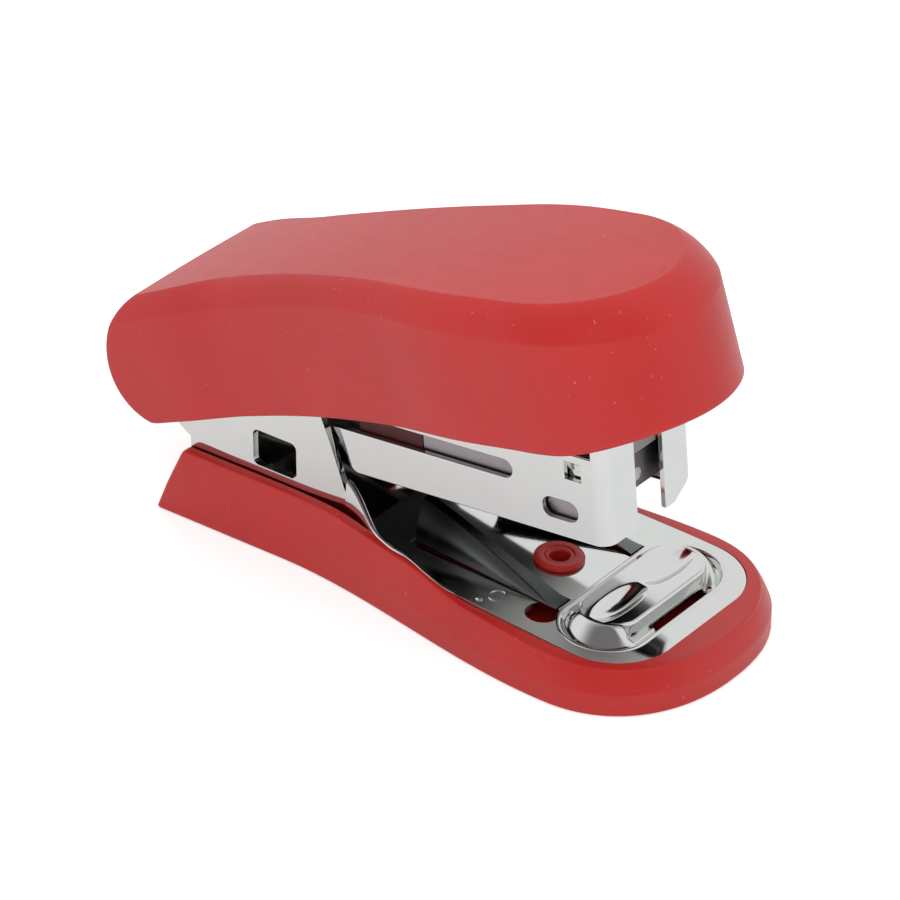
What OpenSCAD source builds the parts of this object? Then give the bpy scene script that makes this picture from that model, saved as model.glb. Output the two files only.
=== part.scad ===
// Small desk stapler for half-inch-wide 24/6 staples.
// The origin lies on the table straight below the pivot pin: +X points to the nose, +Z up, Y is the pin's axis.

/* [Pivot] */
// Height of the pivot pin over the table
pivot_z = 18.25; // [17.9:0.05:19]
// Diameter of the pivot pin
pin_d = 3; // [2.4:0.1:3.2]
// Running clearance between the pin and what turns on it
running_gap = 0.05; // [0.02:0.01:0.08]
// Tilt of the magazine when nothing presses on it
mag_tilt = 5.1; // [4.6:0.1:5.6]
// Tilt of the handle when nothing presses on it
handle_tilt = 18; // [17:0.5:20]

/* [Base tray] */
// Width of the tray at its heel
tray_heel_w = 21; // [20.8:0.1:23]
// Greatest width of the tray, at its nose
tray_nose_w = 29.8; // [28.6:0.1:30.6]
// Distance from the pivot to the tip of the tray
tray_tip_x = 63.1; // [62.6:0.1:66]
// Distance from the pivot back to the heel of the tray
tray_heel_x = 2.4; // [1.8:0.1:3]
// Height of the tray's side walls at the heel
tray_wall_h = 9.7; // [9.3:0.1:10]
// Height of the tray's rim at the nose
tray_rim_h = 4.85; // [4.7:0.05:5]
// Height of the crease round the nose
tray_crease_h = 2.25; // [1.8:0.05:3]
// How far the rim steps in from the crease
tray_cove = 1; // [0.6:0.1:1.3]
// Thickness of the tray's floor
tray_floor_t = 1.2; // [0.8:0.1:1.6]

/* [Base plate] */
// Thickness of the steel plate
plate_t = 0.7; // [0.5:0.1:0.8]
// Fall of the plate towards the nose, in degrees
plate_fall = 3.4; // [3:0.1:3.8]
// Height of the plate's top face at the anvil
plate_z = 4.95; // [4.8:0.05:5.1]
// Width of the plate round the anvil
plate_nose_w = 24.4; // [24:0.1:25]
// Distance from the anvil's middle to the front edge of the plate
plate_nose_l = 7.2; // [6.8:0.1:7.8]
// Radius of the plate's front corners
plate_corner_r = 6.6; // [5:0.1:7]
// Fit between the plate's edge and the tray
plate_fit = 0.08; // [0.05:0.01:0.15]
// Diameter of the small hole in the plate's near margin
margin_hole_d = 3.5; // [3:0.1:3.6]
// Web of sheet between that hole and the anvil's recess
margin_web = 0.15; // [0.1:0.05:0.3]
// Clearance between the anvil's recess and the ledge that carries the plate
ledge_gap = 0.1; // [0.05:0.05:0.3]

/* [Ears] */
// Width over the two ears
ears_w = 16.6; // [16.4:0.1:17]
// Thickness of the ears
ear_t = 0.8; // [0.6:0.1:0.9]
// Height of the ears over the table
ear_top_z = 21.8; // [21.6:0.1:22.5]
// Length of the window in each ear
ear_window_l = 5.6; // [4:0.1:6]
// Height of the window in each ear
ear_window_h = 4.1; // [3:0.1:4.4]

/* [Anvil] */
// Distance from the pivot to the middle of the anvil
anvil_x = 51.7; // [51.2:0.1:52]
// Width of the anvil's recess
recess_w = 21; // [20:0.1:21.5]
// Length of the anvil's recess
recess_l = 9; // [8.6:0.1:9.4]
// Depth of the recess
recess_depth = 1.5; // [1.2:0.1:1.7]
// Width of the raised clinching bar
anvil_w = 17; // [16:0.1:17.5]
// Length of the raised clinching bar
anvil_l = 6.4; // [6:0.1:6.6]
// Height of the clinching bar over the plate
anvil_rise = 1.6; // [1.2:0.1:1.7]
// Depth of the two clinching grooves
groove_depth = 0.9; // [0.5:0.1:1.1]
// Radius of a groove's round section
groove_r = 1.7; // [1.5:0.1:1.9]

/* [Eyelet and lift spring] */
// Distance from the pivot to the eyelet
eyelet_x = 41.5; // [40.5:0.5:42]
// Diameter of the eyelet's head
eyelet_head_d = 5.2; // [4.6:0.1:6]
// Height of the eyelet's head
eyelet_head_h = 0.7; // [0.4:0.1:0.9]
// Diameter of the eyelet's hole
eyelet_hole_d = 2; // [1.6:0.1:2.2]
// Distance between the middles of the two spring arms
lift_gauge = 12.4; // [12:0.1:12.8]
// Width of one spring arm
lift_w = 1.8; // [1.4:0.1:2]
// Thickness of the spring arms
lift_t = 0.4; // [0.3:0.05:0.5]
// Distance from the pivot to the root of the spring arms
lift_root_x = 46.6; // [46:0.1:46.8]
// Length of the spring arms, seen from above
lift_l = 17.6; // [16:0.1:18]

/* [Staples] */
// Side clearance between the staples and the magazine's walls
staple_gap = 0.25; // [0.15:0.05:0.4]
// Height over one staple
staple_h = 6.3; // [6:0.1:6.5]
// Thickness of the staple wire
wire_t = 0.5; // [0.45:0.05:0.55]
// Number of staples in the magazine
staple_count = 41; // [10:1:44]

/* [Magazine] */
// Width over the magazine's walls
mag_w = 14.6; // [14.4:0.1:14.7]
// Thickness of the magazine's sheet
mag_t = 0.6; // [0.5:0.05:0.65]
// Distance from the pivot to the magazine's front face
mag_front = 52.2; // [52:0.1:52.6]
// Distance from the pivot down to the magazine's bottom face
mag_drop = 8.45; // [8.3:0.05:8.5]
// Height of the magazine's walls
mag_wall_h = 9.3; // [9:0.1:9.6]
// Height of the magazine's walls behind the staples
mag_tail_h = 4.65; // [4.4:0.05:4.8]
// Height of the two front flanges
flange_h = 13.3; // [12.6:0.1:13.6]
// Gap between the two front flanges
flange_gap = 4.6; // [4:0.1:5.4]
// Radius of the bends at the front
flange_r = 1.6; // [1:0.1:1.8]
// Height of the staple window over the magazine's bottom
window_rise = 4.65; // [4.2:0.05:4.8]
// Height of the staple window
window_h = 2; // [1.4:0.1:2.4]
// Distance from the pivot to the front end of the window
window_front = 41; // [38:0.5:43]

/* [Core rail] */
// Height of the core rail
core_h = 3.6; // [3:0.1:4]
// Thickness of the core rail's sheet
core_t = 0.6; // [0.5:0.05:0.7]
// Diameter of the guide rod
rod_d = 1.4; // [1.2:0.1:1.6]
// Distance from the rail's top down to the rod
rod_drop = 2.2; // [2.15:0.05:2.4]
// Distance from the pivot to the rear seat of the pusher spring
seat_x = 6.4; // [6:0.1:7]

/* [Pusher] */
// Length of the pusher
pusher_l = 8; // [6:0.1:9]
// Thickness of the pusher's walls
pusher_t = 0.55; // [0.45:0.05:0.6]
// Outside diameter of the pusher spring
pusher_spring_d = 3; // [2.6:0.1:3.1]
// Wire diameter of the pusher spring
pusher_wire_d = 0.45; // [0.35:0.05:0.5]
// Number of coils in the pusher spring
pusher_coils = 9; // [6:1:12]

/* [Handle cover] */
// Width of the cover at its waist
cover_waist_w = 20.6; // [20.2:0.1:22]
// Greatest width of the cover, at its nose
cover_nose_w = 26.65; // [26.4:0.05:28.4]
// Distance from the pivot to the tip of the cover
cover_tip = 60.9; // [60.6:0.1:64]
// Radius of the cover's round heel
heel_r = 7.4; // [7.2:0.05:7.6]
// Height of the top panel over the pivot at the crown
crown_v = 9.1; // [8.8:0.05:9.6]
// Radius of the long arch of the top panel
arch_r = 176; // [160:4:240]
// Depth of the side walls below the pivot at the waist
skirt_v = 5.45; // [5:0.05:5.6]
// Wall thickness of the cover
cover_t = 1.5; // [1.2:0.1:1.6]
// Width of the rounded shoulder between the side wall and the top panel
shoulder_w = 2.25; // [1.6:0.1:2.8]
// Width of the shoulder where it meets the heel
shoulder_heel_w = 1.4; // [1:0.1:2]
// Height of the shoulder at the waist
shoulder_h = 2.45; // [2:0.1:3]
// How much deeper the shoulder is at the nose
shoulder_growth = 0.75; // [0.3:0.1:1]

/* [Handle frame] */
// Side clearance between the handle frame and the ears
ear_gap = 0.2; // [0.15:0.05:0.3]
// Thickness of the handle frame's sheet
frame_t = 0.5; // [0.4:0.05:0.55]
// Height of the frame's top face over the pivot
frame_v = 5; // [4.6:0.1:5.2]
// Distance from the pivot to the front of the frame
frame_front = 50.7; // [50.2:0.1:50.7]
// Side clearance between the driver blade and a staple's legs
driver_gap = 0.15; // [0.1:0.05:0.3]
// Thickness of the driver blade
driver_t = 0.5; // [0.4:0.05:0.6]
// Rise of the driver's edge over the staples at rest
driver_lift = 0.35; // [0.2:0.05:0.6]
// How far the handle spring's foot stops short of the magazine's sides
foot_gap = 0.3; // [0.1:0.1:0.5]
// Thickness of the handle spring
handle_spring_t = 0.35; // [0.25:0.05:0.4]

/* [Hidden] */
$fn = 48;

red = [0.76, 0.23, 0.22];
chrome = [0.85, 0.85, 0.84];
steel = [0.55, 0.56, 0.58];
dark_red = [0.4, 0.08, 0.08];
wire = [0.72, 0.7, 0.72];

// Clearance that keeps a boolean cut clear of a face
cut = 1;
// Gap between neighbours that slide past each other
slide_gap = 0.1;
// Points along a side and round the nose of a lofted outline
side_steps = 22;
nose_steps = 11;

plate_slope = tan(plate_fall);
pin_r = pin_d / 2;
bore_r = pin_r + running_gap;
pin_head_r = pin_r + 0.9;
pin_head_t = 0.5;
ear_in = ears_w / 2 - ear_t;
ledge_w = (plate_nose_w - recess_w) / 2 - ledge_gap;

staple_w = mag_w - 2 * mag_t - 2 * staple_gap;
frame_w = 2 * (ear_in - ear_gap);
driver_w = staple_w - 2 * wire_t - 2 * driver_gap;
handle_spring_w = mag_w - 2 * foot_gap;
// Radius of the sheet round the pivot pin, on the core and on the handle frame
hub_r = 3.2;

shell_in = mag_w / 2 - mag_t;
shell_bottom = -mag_drop;
shell_floor = shell_bottom + mag_t;
shell_top = shell_bottom + mag_wall_h;
// The shell's tail is raked: where its rear edge meets the bottom and the top of the low wall
tail_bottom_x = 21.6;
tail_top_x = 18.5;
full_wall_x = 26;

staple_crown = shell_floor + 0.3 + staple_h;
core_top = staple_crown - wire_t;
core_bottom = core_top - core_h;
core_half = staple_w / 2 - wire_t - 0.05;
driver_r = mag_front - mag_t - slide_gap;
driver_in = driver_r - driver_t;
core_front = driver_in - 0.4;
rod_z = core_top - rod_drop;
pitch = wire_t + 0.01;
// The curved blade's inner face comes furthest back where it drives the tips of the legs
strip_front = sqrt(pow(driver_in, 2) - pow(staple_crown - staple_h, 2)) - slide_gap;
strip_rear = strip_front - staple_count * pitch;
pusher_front = strip_rear - 0.05;
pusher_rear = pusher_front - pusher_l;

tilt_gap = handle_tilt - mag_tilt;
heel_u = -0.96;
heel_v = 0.08;
cover_front_u = 47;
flare_u = 12.1;
waist_u = 9;
heel_flare = 0.65;
// How far the side bulges ahead of its flare, and where the bulge starts
side_bulge = 0.4;
bulge_u = 30;
// How much wider the shoulder is at the tip, and where it starts to widen
shoulder_nose = 0.55;
shoulder_nose_u = 44;
// How much less the side walls fall at the tip, and where they start to rise
skirt_lift = 2.05;
skirt_lift_u = 50;
skirt_lift_l = 12.7;
// Distance along at which the side walls' lower edge is highest
skirt_top_u = 24;
heel_front_u = -1.4;

// ---- Shapes that repeat ----

function smooth(t) = let (c = min(max(t, 0), 1)) c * c * (3 - 2 * c);

function mix(a, b, t) = a + (b - a) * t;

// Ring of points round a plan outline: along the near side from heel to nose, round the nose, and back.
// half and height are functions of the distance along the outline; power 2 gives an elliptical nose.
function plan_ring(heel, front, tip, half, height, power = 2) =
    let (
        side = [for (i = [0:side_steps])
            let (u = mix(heel, front, i / side_steps)) [u, half(u), height(u)]],
        nose = [for (j = [1:nose_steps])
            let (a = 90 * j / nose_steps, u = front + (tip - front) * pow(sin(a), 2 / power))
                [u, half(front) * pow(cos(a), 2 / power), height(u)]],
        near = concat(side, nose)
    )
    concat(
        [for (p = near) [p.x, -p.y, p.z]],
        [for (i = [len(near) - 2:-1:0]) near[i]]
    );

// Closed solid through rings that are mirror images in Y, with both ends closed by strips across Y.
module loft(rings) {
    count = len(rings[0]);
    nose = (count - 1) / 2;
    last = (len(rings) - 1) * count;
    walls = [for (k = [0:len(rings) - 2], i = [0:count - 1])
        let (a = k * count + i, b = k * count + (i + 1) % count, c = a + count, d = b + count)
            each [[a, c, d], [a, d, b]]];
    first_cap = [for (i = [0:nose - 1])
        let (m = count - 1 - i)
            each (i == nose - 1 ? [[i, i + 1, m]] : [[i, i + 1, m - 1], [i, m - 1, m]])];
    last_cap = [for (i = [0:nose - 1])
        let (a = last + i, m = last + count - 1 - i)
            each (i == nose - 1 ? [[a, m, a + 1]] : [[a, m, m - 1], [a, m - 1, a + 1]])];
    polyhedron(points = [for (ring = rings) each ring], faces = concat(walls, first_cap, last_cap));
}

// Plate seen from the side: points are (x, z), drawn as a slab of the given thickness from y inwards.
module side_slab(y, thickness) {
    translate([0, y + thickness, 0]) rotate([90, 0, 0]) linear_extrude(thickness) children();
}

// The same slab on both sides of the middle plane
module both_sides(outer, thickness) {
    side_slab(outer - thickness, thickness) children();
    side_slab(-outer, thickness) children();
}

// Cylinder along Y, centred on the middle plane
module cross_cylinder(r, length) {
    rotate([90, 0, 0]) cylinder(r = r, h = length, center = true);
}

module stadium(width, length) {
    square([length, width - length], center = true);
    for (side = [-1, 1]) translate([0, side * (width - length) / 2]) circle(d = length);
}

module slot_2d(length, height) {
    square([length - height, height], center = true);
    for (side = [-1, 1]) translate([side * (length - height) / 2, 0]) circle(d = height);
}

// Round wire along a helix about X, from x0 to x1
module coil(x0, x1, r, wire_r, turns, per_turn = 14, sides = 6) {
    steps = turns * per_turn;
    points = [for (i = [0:steps], j = [0:sides - 1])
        let (a = 360 * i / per_turn, b = 360 * j / sides, reach = r + wire_r * cos(b))
            [mix(x0, x1, i / steps) + wire_r * sin(b), reach * cos(a), reach * sin(a)]];
    skin = [for (i = [0:steps - 1], j = [0:sides - 1])
        let (a = i * sides + j, b = i * sides + (j + 1) % sides)
            each [[a, a + sides, b + sides], [a, b + sides, b]]];
    ends = [[for (j = [0:sides - 1]) j], [for (j = [sides - 1:-1:0]) steps * sides + j]];
    polyhedron(points = points, faces = concat(skin, ends));
}

// Leaf of even thickness along a curve in the XZ plane; curve is a function of t from 0 to 1
module leaf(curve, thickness, width, steps = 14) {
    line = [for (i = [0:steps]) curve(i / steps)];
    rotate([90, 0, 0]) linear_extrude(width, center = true)
        polygon(concat(line, [for (i = [steps:-1:0]) line[i] - [0, thickness]]));
}

module magazine_place() {
    translate([0, 0, pivot_z]) rotate([0, -mag_tilt, 0]) children();
}

module handle_place() {
    translate([0, 0, pivot_z]) rotate([0, -handle_tilt, 0]) children();
}

// The plate's own frame: origin on its top face at the anvil, X along the fall
module plate_place() {
    translate([anvil_x, 0, plate_z]) rotate([0, plate_fall, 0]) children();
}

// ---- Base ----

tray_front_x = 50.5;
tray_flare_x = 13.9;
rim_blend_x = [30, 44];
rim_low_x = 54;

function tray_half(x) =
    mix(tray_heel_w, tray_nose_w, smooth((x - tray_flare_x) / (tray_front_x - tray_flare_x))) / 2;
// Share of the nose's cove: none along the tray's side walls, all of it round the nose
function cove_share(x) = smooth((x - rim_blend_x[0]) / (rim_blend_x[1] - rim_blend_x[0]));
function rim_z(x) =
    let (nose = tray_rim_h + (rim_low_x - x) * plate_slope * 0.6)
    mix(tray_wall_h, nose, smooth((x - 19) / 19));
function crease_z(x) = mix(rim_z(x) * 0.45, tray_crease_h, cove_share(x));
function tray_inset(x, share) = mix(0.4, tray_cove, cove_share(x)) * share;
function tray_heel(z) = -tray_heel_x + 0.43 * z + 0.55 * pow(max(0, z - 7.2), 1.6) / 2;

function tray_ring(inset_share, height) = plan_ring(
    tray_heel(height(0)), tray_front_x, tray_tip_x - tray_inset(tray_front_x, inset_share),
    function(x) tray_half(x) - tray_inset(x, inset_share), height, 2.23);

// Outline of the steel plate in its own frame: narrow between the ears, then flaring to the nose
plate_heel = -anvil_x + 0.9;
plate_neck = 22.6 - anvil_x;
plate_full = 36 - anvil_x;

function plate_half(x) =
    mix(ears_w - ear_t, plate_nose_w - 0.9, smooth((x - plate_neck + 3) / (plate_full - plate_neck + 3))) / 2
    + 0.45 * smooth((x - plate_full) / -plate_full);

module plate_outline(grow = 0, heel = plate_heel) {
    front = plate_nose_l - plate_corner_r;
    steps = 24;
    half = [for (i = [0:steps]) let (x = mix(heel, front, i / steps)) [x, plate_half(x) + grow]];
    polygon(concat([for (p = half) [p.x, -p.y]], [for (i = [steps:-1:0]) half[i]]));
    for (side = [-1, 1])
        translate([front, side * (plate_nose_w / 2 - plate_corner_r)]) circle(r = plate_corner_r + grow);
    translate([0, -(plate_nose_w / 2 - plate_corner_r)])
        square([plate_nose_l + grow, plate_nose_w - 2 * plate_corner_r]);
}

boss_r = eyelet_head_d / 2 + 0.4;
shank_r = eyelet_hole_d / 2 + 0.7;
shank_l = plate_t + 1.6;
eyelet_s = (eyelet_x - anvil_x) / cos(plate_fall);
// The boss ends just under the lowest part of the plate over it
boss_top = plate_z + (anvil_x - eyelet_x - boss_r) * plate_slope - plate_t / cos(plate_fall) - 0.02;

pocket_heel = -anvil_x - 4 * tray_heel_x;
// The tray's side wall beside the ears, and where it starts to thicken towards the plate's flare
tray_wall_t = 0.95;
wall_thin_x = 23;
wall_full_x = 33;
pocket_steps = 20;
// Point of the wall's inner face at one step from the heel, on the near (-1) or the far side (1)
function wall_inside(step, side) =
    let (
        x = mix(-3 * tray_heel_x, wall_full_x, step / pocket_steps),
        thin = tray_half(x) - tray_inset(x, 1) - tray_wall_t,
        full = plate_half(x - anvil_x) + plate_fit - 0.3
    )
    [x - anvil_x, side * mix(thin, full, smooth((x - wall_thin_x) / (wall_full_x - wall_thin_x)))];

module base_tray() {
    seat = -plate_t;
    color(red) {
        difference() {
            loft([
                tray_ring(0, function(x) 0),
                tray_ring(0, function(x) crease_z(x) * 0.5),
                tray_ring(0, function(x) crease_z(x)),
                tray_ring(0.3, function(x) mix(crease_z(x), rim_z(x), 0.35)),
                tray_ring(0.7, function(x) mix(crease_z(x), rim_z(x), 0.8)),
                tray_ring(1, function(x) rim_z(x))
            ]);
            plate_place() translate([0, 0, seat]) linear_extrude(3 * tray_wall_h) {
                plate_outline(plate_fit, pocket_heel);
                polygon(concat(
                    [for (step = [0:pocket_steps]) wall_inside(step, -1)],
                    [for (step = [pocket_steps:-1:0]) wall_inside(step, 1)]
                ));
            }
            intersection() {
                plate_place() translate([0, 0, seat + cut - 3 * tray_wall_h]) linear_extrude(3 * tray_wall_h)
                    plate_outline(-ledge_w, plate_heel + ledge_w + 1.5);
                translate([-tray_heel_x, -tray_nose_w, tray_floor_t])
                    cube([2 * tray_tip_x, 2 * tray_nose_w, 3 * tray_wall_h]);
            }
        }
        difference() {
            translate([eyelet_x, 0, tray_floor_t - 0.2])
                cylinder(r = boss_r, h = boss_top - tray_floor_t + 0.2);
            plate_place() translate([eyelet_s, 0, -shank_l - 0.1]) cylinder(r = shank_r + 0.05, h = tray_wall_h);
        }
    }
}

ear_profile = [
    [24.8, 6.4], [22.7, 7.6], [21, 9.9], [19.4, 14.2], [18.2, 17], [17.4, 19.4], [15.6, ear_top_z - 0.5],
    [13.4, ear_top_z], [1.2, ear_top_z], [0, pivot_z], [-1.6, pivot_z - 3.2], [-0.9, 12.2],
    [-1.1, 10.3], [-0.2, 9.6], [0.9, 8.9], [0.9, 7.4]
];

module ear_2d() {
    difference() {
        union() {
            polygon(ear_profile);
            translate([0, pivot_z]) circle(r = ear_top_z - pivot_z);
        }
        translate([0, pivot_z]) circle(r = pin_r + 0.02);
        translate([12, 10.8]) slot_2d_round(ear_window_l, ear_window_h, 0.7);
    }
}

// Rectangle with round corners
module slot_2d_round(length, height, r) {
    square([length - 2 * r, height], center = true);
    square([length, height - 2 * r], center = true);
    for (sx = [-1, 1], sy = [-1, 1])
        translate([sx * (length / 2 - r), sy * (height / 2 - r)]) circle(r = r);
}

lift_slot_w = lift_w + 0.7;
// The small hole lies off the recess's near end, at an angle to the stapler's length
margin_angle = 24;
margin_reach = (recess_l + margin_hole_d) / 2 + margin_web;
margin_hole = [0, (recess_l - recess_w) / 2] - margin_reach * [cos(margin_angle), sin(margin_angle)];

module base_plate() {
    color(chrome) {
        difference() {
            plate_place() translate([0, 0, -plate_t]) linear_extrude(plate_t) difference() {
                plate_outline();
                stadium(recess_w, recess_l);
                translate([eyelet_s, 0]) circle(r = shank_r + 0.05);
                translate(margin_hole) circle(d = margin_hole_d);
                for (side = [-1, 1])
                    translate([lift_root_x - lift_l - anvil_x - 0.4, (side * lift_gauge - lift_slot_w) / 2])
                        square([lift_l + 0.5, lift_slot_w]);
            }
        }
        both_sides(ears_w / 2, ear_t) ear_2d();
    }
}

module anvil() {
    top = anvil_rise;
    groove_reach = anvil_w * 0.241;
    groove_ring = (pow(groove_reach, 2) + pow(groove_depth, 2)) / (2 * groove_depth) - groove_r;
    color(chrome) plate_place() difference() {
        union() {
            translate([0, 0, -recess_depth]) linear_extrude(recess_depth) difference() {
                stadium(recess_w - 0.1, recess_l - 0.1);
                stadium(recess_w - 1.3, recess_l - 1.3);
            }
            translate([0, 0, -recess_depth]) linear_extrude(0.5) difference() {
                stadium(recess_w - 1.1, recess_l - 1.1);
                translate([anvil_l / 2 + 0.35, 1.5]) square([0.7, anvil_w / 2], center = true);
            }
            translate([0, 0, -recess_depth]) linear_extrude(recess_depth + top) stadium(anvil_w, anvil_l);
        }
        for (side = [-1, 1])
            translate([0, side * anvil_w * 0.247, top + groove_ring + groove_r - groove_depth])
                rotate([0, 90, 0]) rotate_extrude() translate([groove_ring, 0]) circle(r = groove_r);
    }
}

module plate_eyelet() {
    color(red) plate_place() translate([eyelet_s, 0, 0]) difference() {
        union() {
            cylinder(r1 = eyelet_head_d / 2, r2 = eyelet_head_d / 2 - 0.35, h = eyelet_head_h);
            translate([0, 0, -shank_l]) cylinder(r = shank_r, h = shank_l + 0.1);
        }
        translate([0, 0, -shank_l - cut]) cylinder(r = eyelet_hole_d / 2, h = shank_l + eyelet_head_h + 2 * cut);
    }
}

lift_tip_x = lift_root_x - lift_l;
lift_root_z = plate_z + (anvil_x - lift_root_x) * plate_slope;
lift_tip_z = pivot_z + (lift_tip_x * sin(mag_tilt) - mag_drop) / cos(mag_tilt) - 0.3;

module lift_spring() {
    curve = function(t) [
        mix(lift_root_x, lift_tip_x, t),
        mix(lift_root_z, lift_tip_z, 0.75 * t + 0.25 * smooth(t)) - 0.1
    ];
    color(chrome) for (side = [-1, 1])
        translate([0, side * lift_gauge / 2, 0]) leaf(curve, lift_t, lift_w);
}

module pivot_pin() {
    color(steel) translate([0, 0, pivot_z]) {
        cross_cylinder(pin_r, ears_w + 0.1);
        for (side = [-1, 1]) translate([0, side * (ears_w + pin_head_t) / 2, 0])
            cross_cylinder(pin_head_r, pin_head_t);
    }
}

// ---- Magazine ----

module shell_wall_2d() {
    difference() {
        union() {
            polygon([
                [mag_front - flange_r, shell_bottom], [mag_front - flange_r, shell_top],
                [full_wall_x + 1, shell_top], [full_wall_x, shell_top - 1],
                [full_wall_x, shell_bottom + mag_tail_h], [tail_top_x, shell_bottom + mag_tail_h],
                [tail_bottom_x - 1.4, shell_bottom + 1.4], [tail_bottom_x, shell_bottom]
            ]);
            translate([tail_bottom_x, shell_bottom + 1.5]) circle(r = 1.5);
        }
        translate([window_front - 20, shell_bottom + window_rise]) square([20 - window_h / 2, window_h]);
        translate([window_front - window_h / 2, shell_bottom + window_rise + window_h / 2]) circle(d = window_h);
        translate([48.4, shell_bottom + 7.5]) square([2, 1.9], center = true);
        translate([46.6, shell_bottom + 2.9]) slot_2d(4.3, 2.2);
    }
}

// One front corner: the wall bends round and runs in as a flange, seen from above
module flange_2d() {
    outer = mag_w / 2;
    difference() {
        union() {
            translate([mag_front - flange_r, outer - flange_r]) circle(r = flange_r);
            translate([mag_front - flange_r, flange_gap / 2]) square([flange_r, outer - flange_r - flange_gap / 2]);
        }
        translate([mag_front - flange_r, outer - flange_r]) circle(r = flange_r - mag_t);
        translate([mag_front - flange_r - cut, flange_gap / 2 - cut])
            square([flange_r - mag_t + cut, outer - flange_r - flange_gap / 2 + cut]);
        translate([mag_front - 2 * flange_r - cut, 0]) square([flange_r + cut, outer - mag_t]);
        translate([mag_front - 3 * flange_r, 0]) square([2 * flange_r, mag_w]);
    }
}

// The far flange's lower outer corner is cut off at a slope
corner_cut_w = 3.6;
corner_cut_h = 2.1;

module magazine_shell() {
    color(chrome) magazine_place() {
        both_sides(mag_w / 2, mag_t) shell_wall_2d();
        translate([tail_bottom_x, -mag_w / 2 + 0.1, shell_bottom])
            cube([44.5 - tail_bottom_x, mag_w - 0.2, mag_t]);
        translate([0, 0, shell_bottom]) {
            mirror([0, 1, 0]) linear_extrude(flange_h) flange_2d();
            difference() {
                linear_extrude(flange_h) flange_2d();
                translate([mag_front - 2 * flange_r, mag_w / 2, 0]) rotate([90, 0, 90])
                    linear_extrude(4 * flange_r) polygon([
                        [cut, -cut], [-corner_cut_w - cut * corner_cut_w / corner_cut_h, -cut],
                        [cut, corner_cut_h + cut * corner_cut_h / corner_cut_w]
                    ]);
            }
        }
    }
}

module core_cheek_2d() {
    difference() {
        union() {
            circle(r = hub_r);
            polygon([
                [0, hub_r], [1.2, hub_r], [9, core_top], [core_front, core_top],
                [core_front, core_bottom], [9, core_bottom], [-1, -3.05]
            ]);
        }
        circle(r = bore_r);
    }
}

module staple_core() {
    color(steel) magazine_place() difference() {
        union() {
            both_sides(core_half, core_t) core_cheek_2d();
            translate([8.9, -core_half, core_top - core_t]) cube([core_front - 8.9, 2 * core_half, core_t]);
            translate([core_front - core_t, -core_half, core_bottom]) cube([core_t, 2 * core_half, core_h]);
        }
        translate([core_front, 0, rod_z]) rotate([0, 90, 0])
            cylinder(d = rod_d + 0.06, h = 4 * core_t, center = true);
    }
}

module pivot_bush() {
    color(steel) translate([0, 0, pivot_z]) difference() {
        cross_cylinder(pin_r + 0.8, 2 * (core_half - core_t));
        cross_cylinder(bore_r, 2 * core_half);
    }
}

module guide_rod() {
    head = 0.6;
    color(steel) magazine_place() translate([seat_x - 1.2, 0, rod_z]) rotate([0, 90, 0]) {
        cylinder(d = rod_d + 1, h = head);
        cylinder(d = rod_d, h = core_front - seat_x + 1.2);
    }
}

module spring_seat() {
    seat_t = 0.6;
    seat_h = 3;
    color(steel) magazine_place() difference() {
        translate([seat_x - seat_t, -core_half + core_t, rod_z - seat_h / 2])
            cube([seat_t, 2 * (core_half - core_t), seat_h]);
        translate([seat_x, 0, rod_z]) rotate([0, 90, 0]) cylinder(d = rod_d + 0.06, h = 4 * seat_t, center = true);
    }
}

module pusher_spring() {
    wire_r = pusher_wire_d / 2;
    color(steel) magazine_place() translate([0, 0, rod_z])
        coil(seat_x + wire_r + 0.05, pusher_rear - wire_r - 0.05, pusher_spring_d / 2 - wire_r, wire_r, pusher_coils);
}

// Staple seen from behind: crown on top, two legs
module staple_2d(shrink = 0) {
    half = staple_w / 2 - shrink;
    difference() {
        translate([-half, staple_crown - staple_h]) square([2 * half, staple_h - shrink]);
        translate([-staple_w / 2 + wire_t, staple_crown - staple_h - cut])
            square([staple_w - 2 * wire_t, staple_h - wire_t + cut]);
    }
}

module staple_strip() {
    glue = 0.08;
    color(wire) magazine_place() rotate([90, 0, 90]) {
        translate([0, 0, strip_rear]) linear_extrude(strip_front - strip_rear) staple_2d(glue);
        for (i = [0:staple_count - 1])
            translate([0, 0, strip_rear + i * pitch + 0.1]) linear_extrude(pitch - 0.2) staple_2d();
    }
}

module core_post() {
    post_x = 42;
    post_l = 2.4;
    leg_w = 1;
    half = core_half - core_t;
    color(steel) magazine_place() difference() {
        translate([post_x, -half, shell_floor]) cube([post_l, 2 * half, core_top - core_t - shell_floor]);
        translate([post_x - cut, -half + leg_w, shell_floor - cut])
            cube([post_l + 2 * cut, 2 * (half - leg_w), core_bottom - shell_floor + cut]);
        translate([post_x, 0, rod_z]) rotate([0, 90, 0]) cylinder(d = rod_d + 0.06, h = 4 * post_l, center = true);
    }
}

module staple_pusher() {
    inside = core_half + slide_gap;
    outside = inside + pusher_t;
    foot_z = shell_floor + 0.2;
    lug_half = core_half - core_t - 2 * slide_gap;
    color(dark_red) magazine_place() translate([pusher_rear, 0, 0]) difference() {
        union() {
            difference() {
                translate([0, -outside, foot_z]) cube([pusher_l, 2 * outside, shell_top - 0.2 - foot_z]);
                translate([-cut, -inside, core_bottom - slide_gap])
                    cube([pusher_l + 2 * cut, 2 * inside, core_h + 2 * slide_gap]);
            }
            translate([0, -lug_half, foot_z]) cube([pusher_l, 2 * lug_half, rod_z + 1.2 - foot_z]);
        }
        translate([-cut, 0, rod_z]) rotate([0, 90, 0])
            cylinder(d = rod_d + 2 * running_gap, h = pusher_l + 2 * cut);
    }
}

// ---- Handle ----

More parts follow.
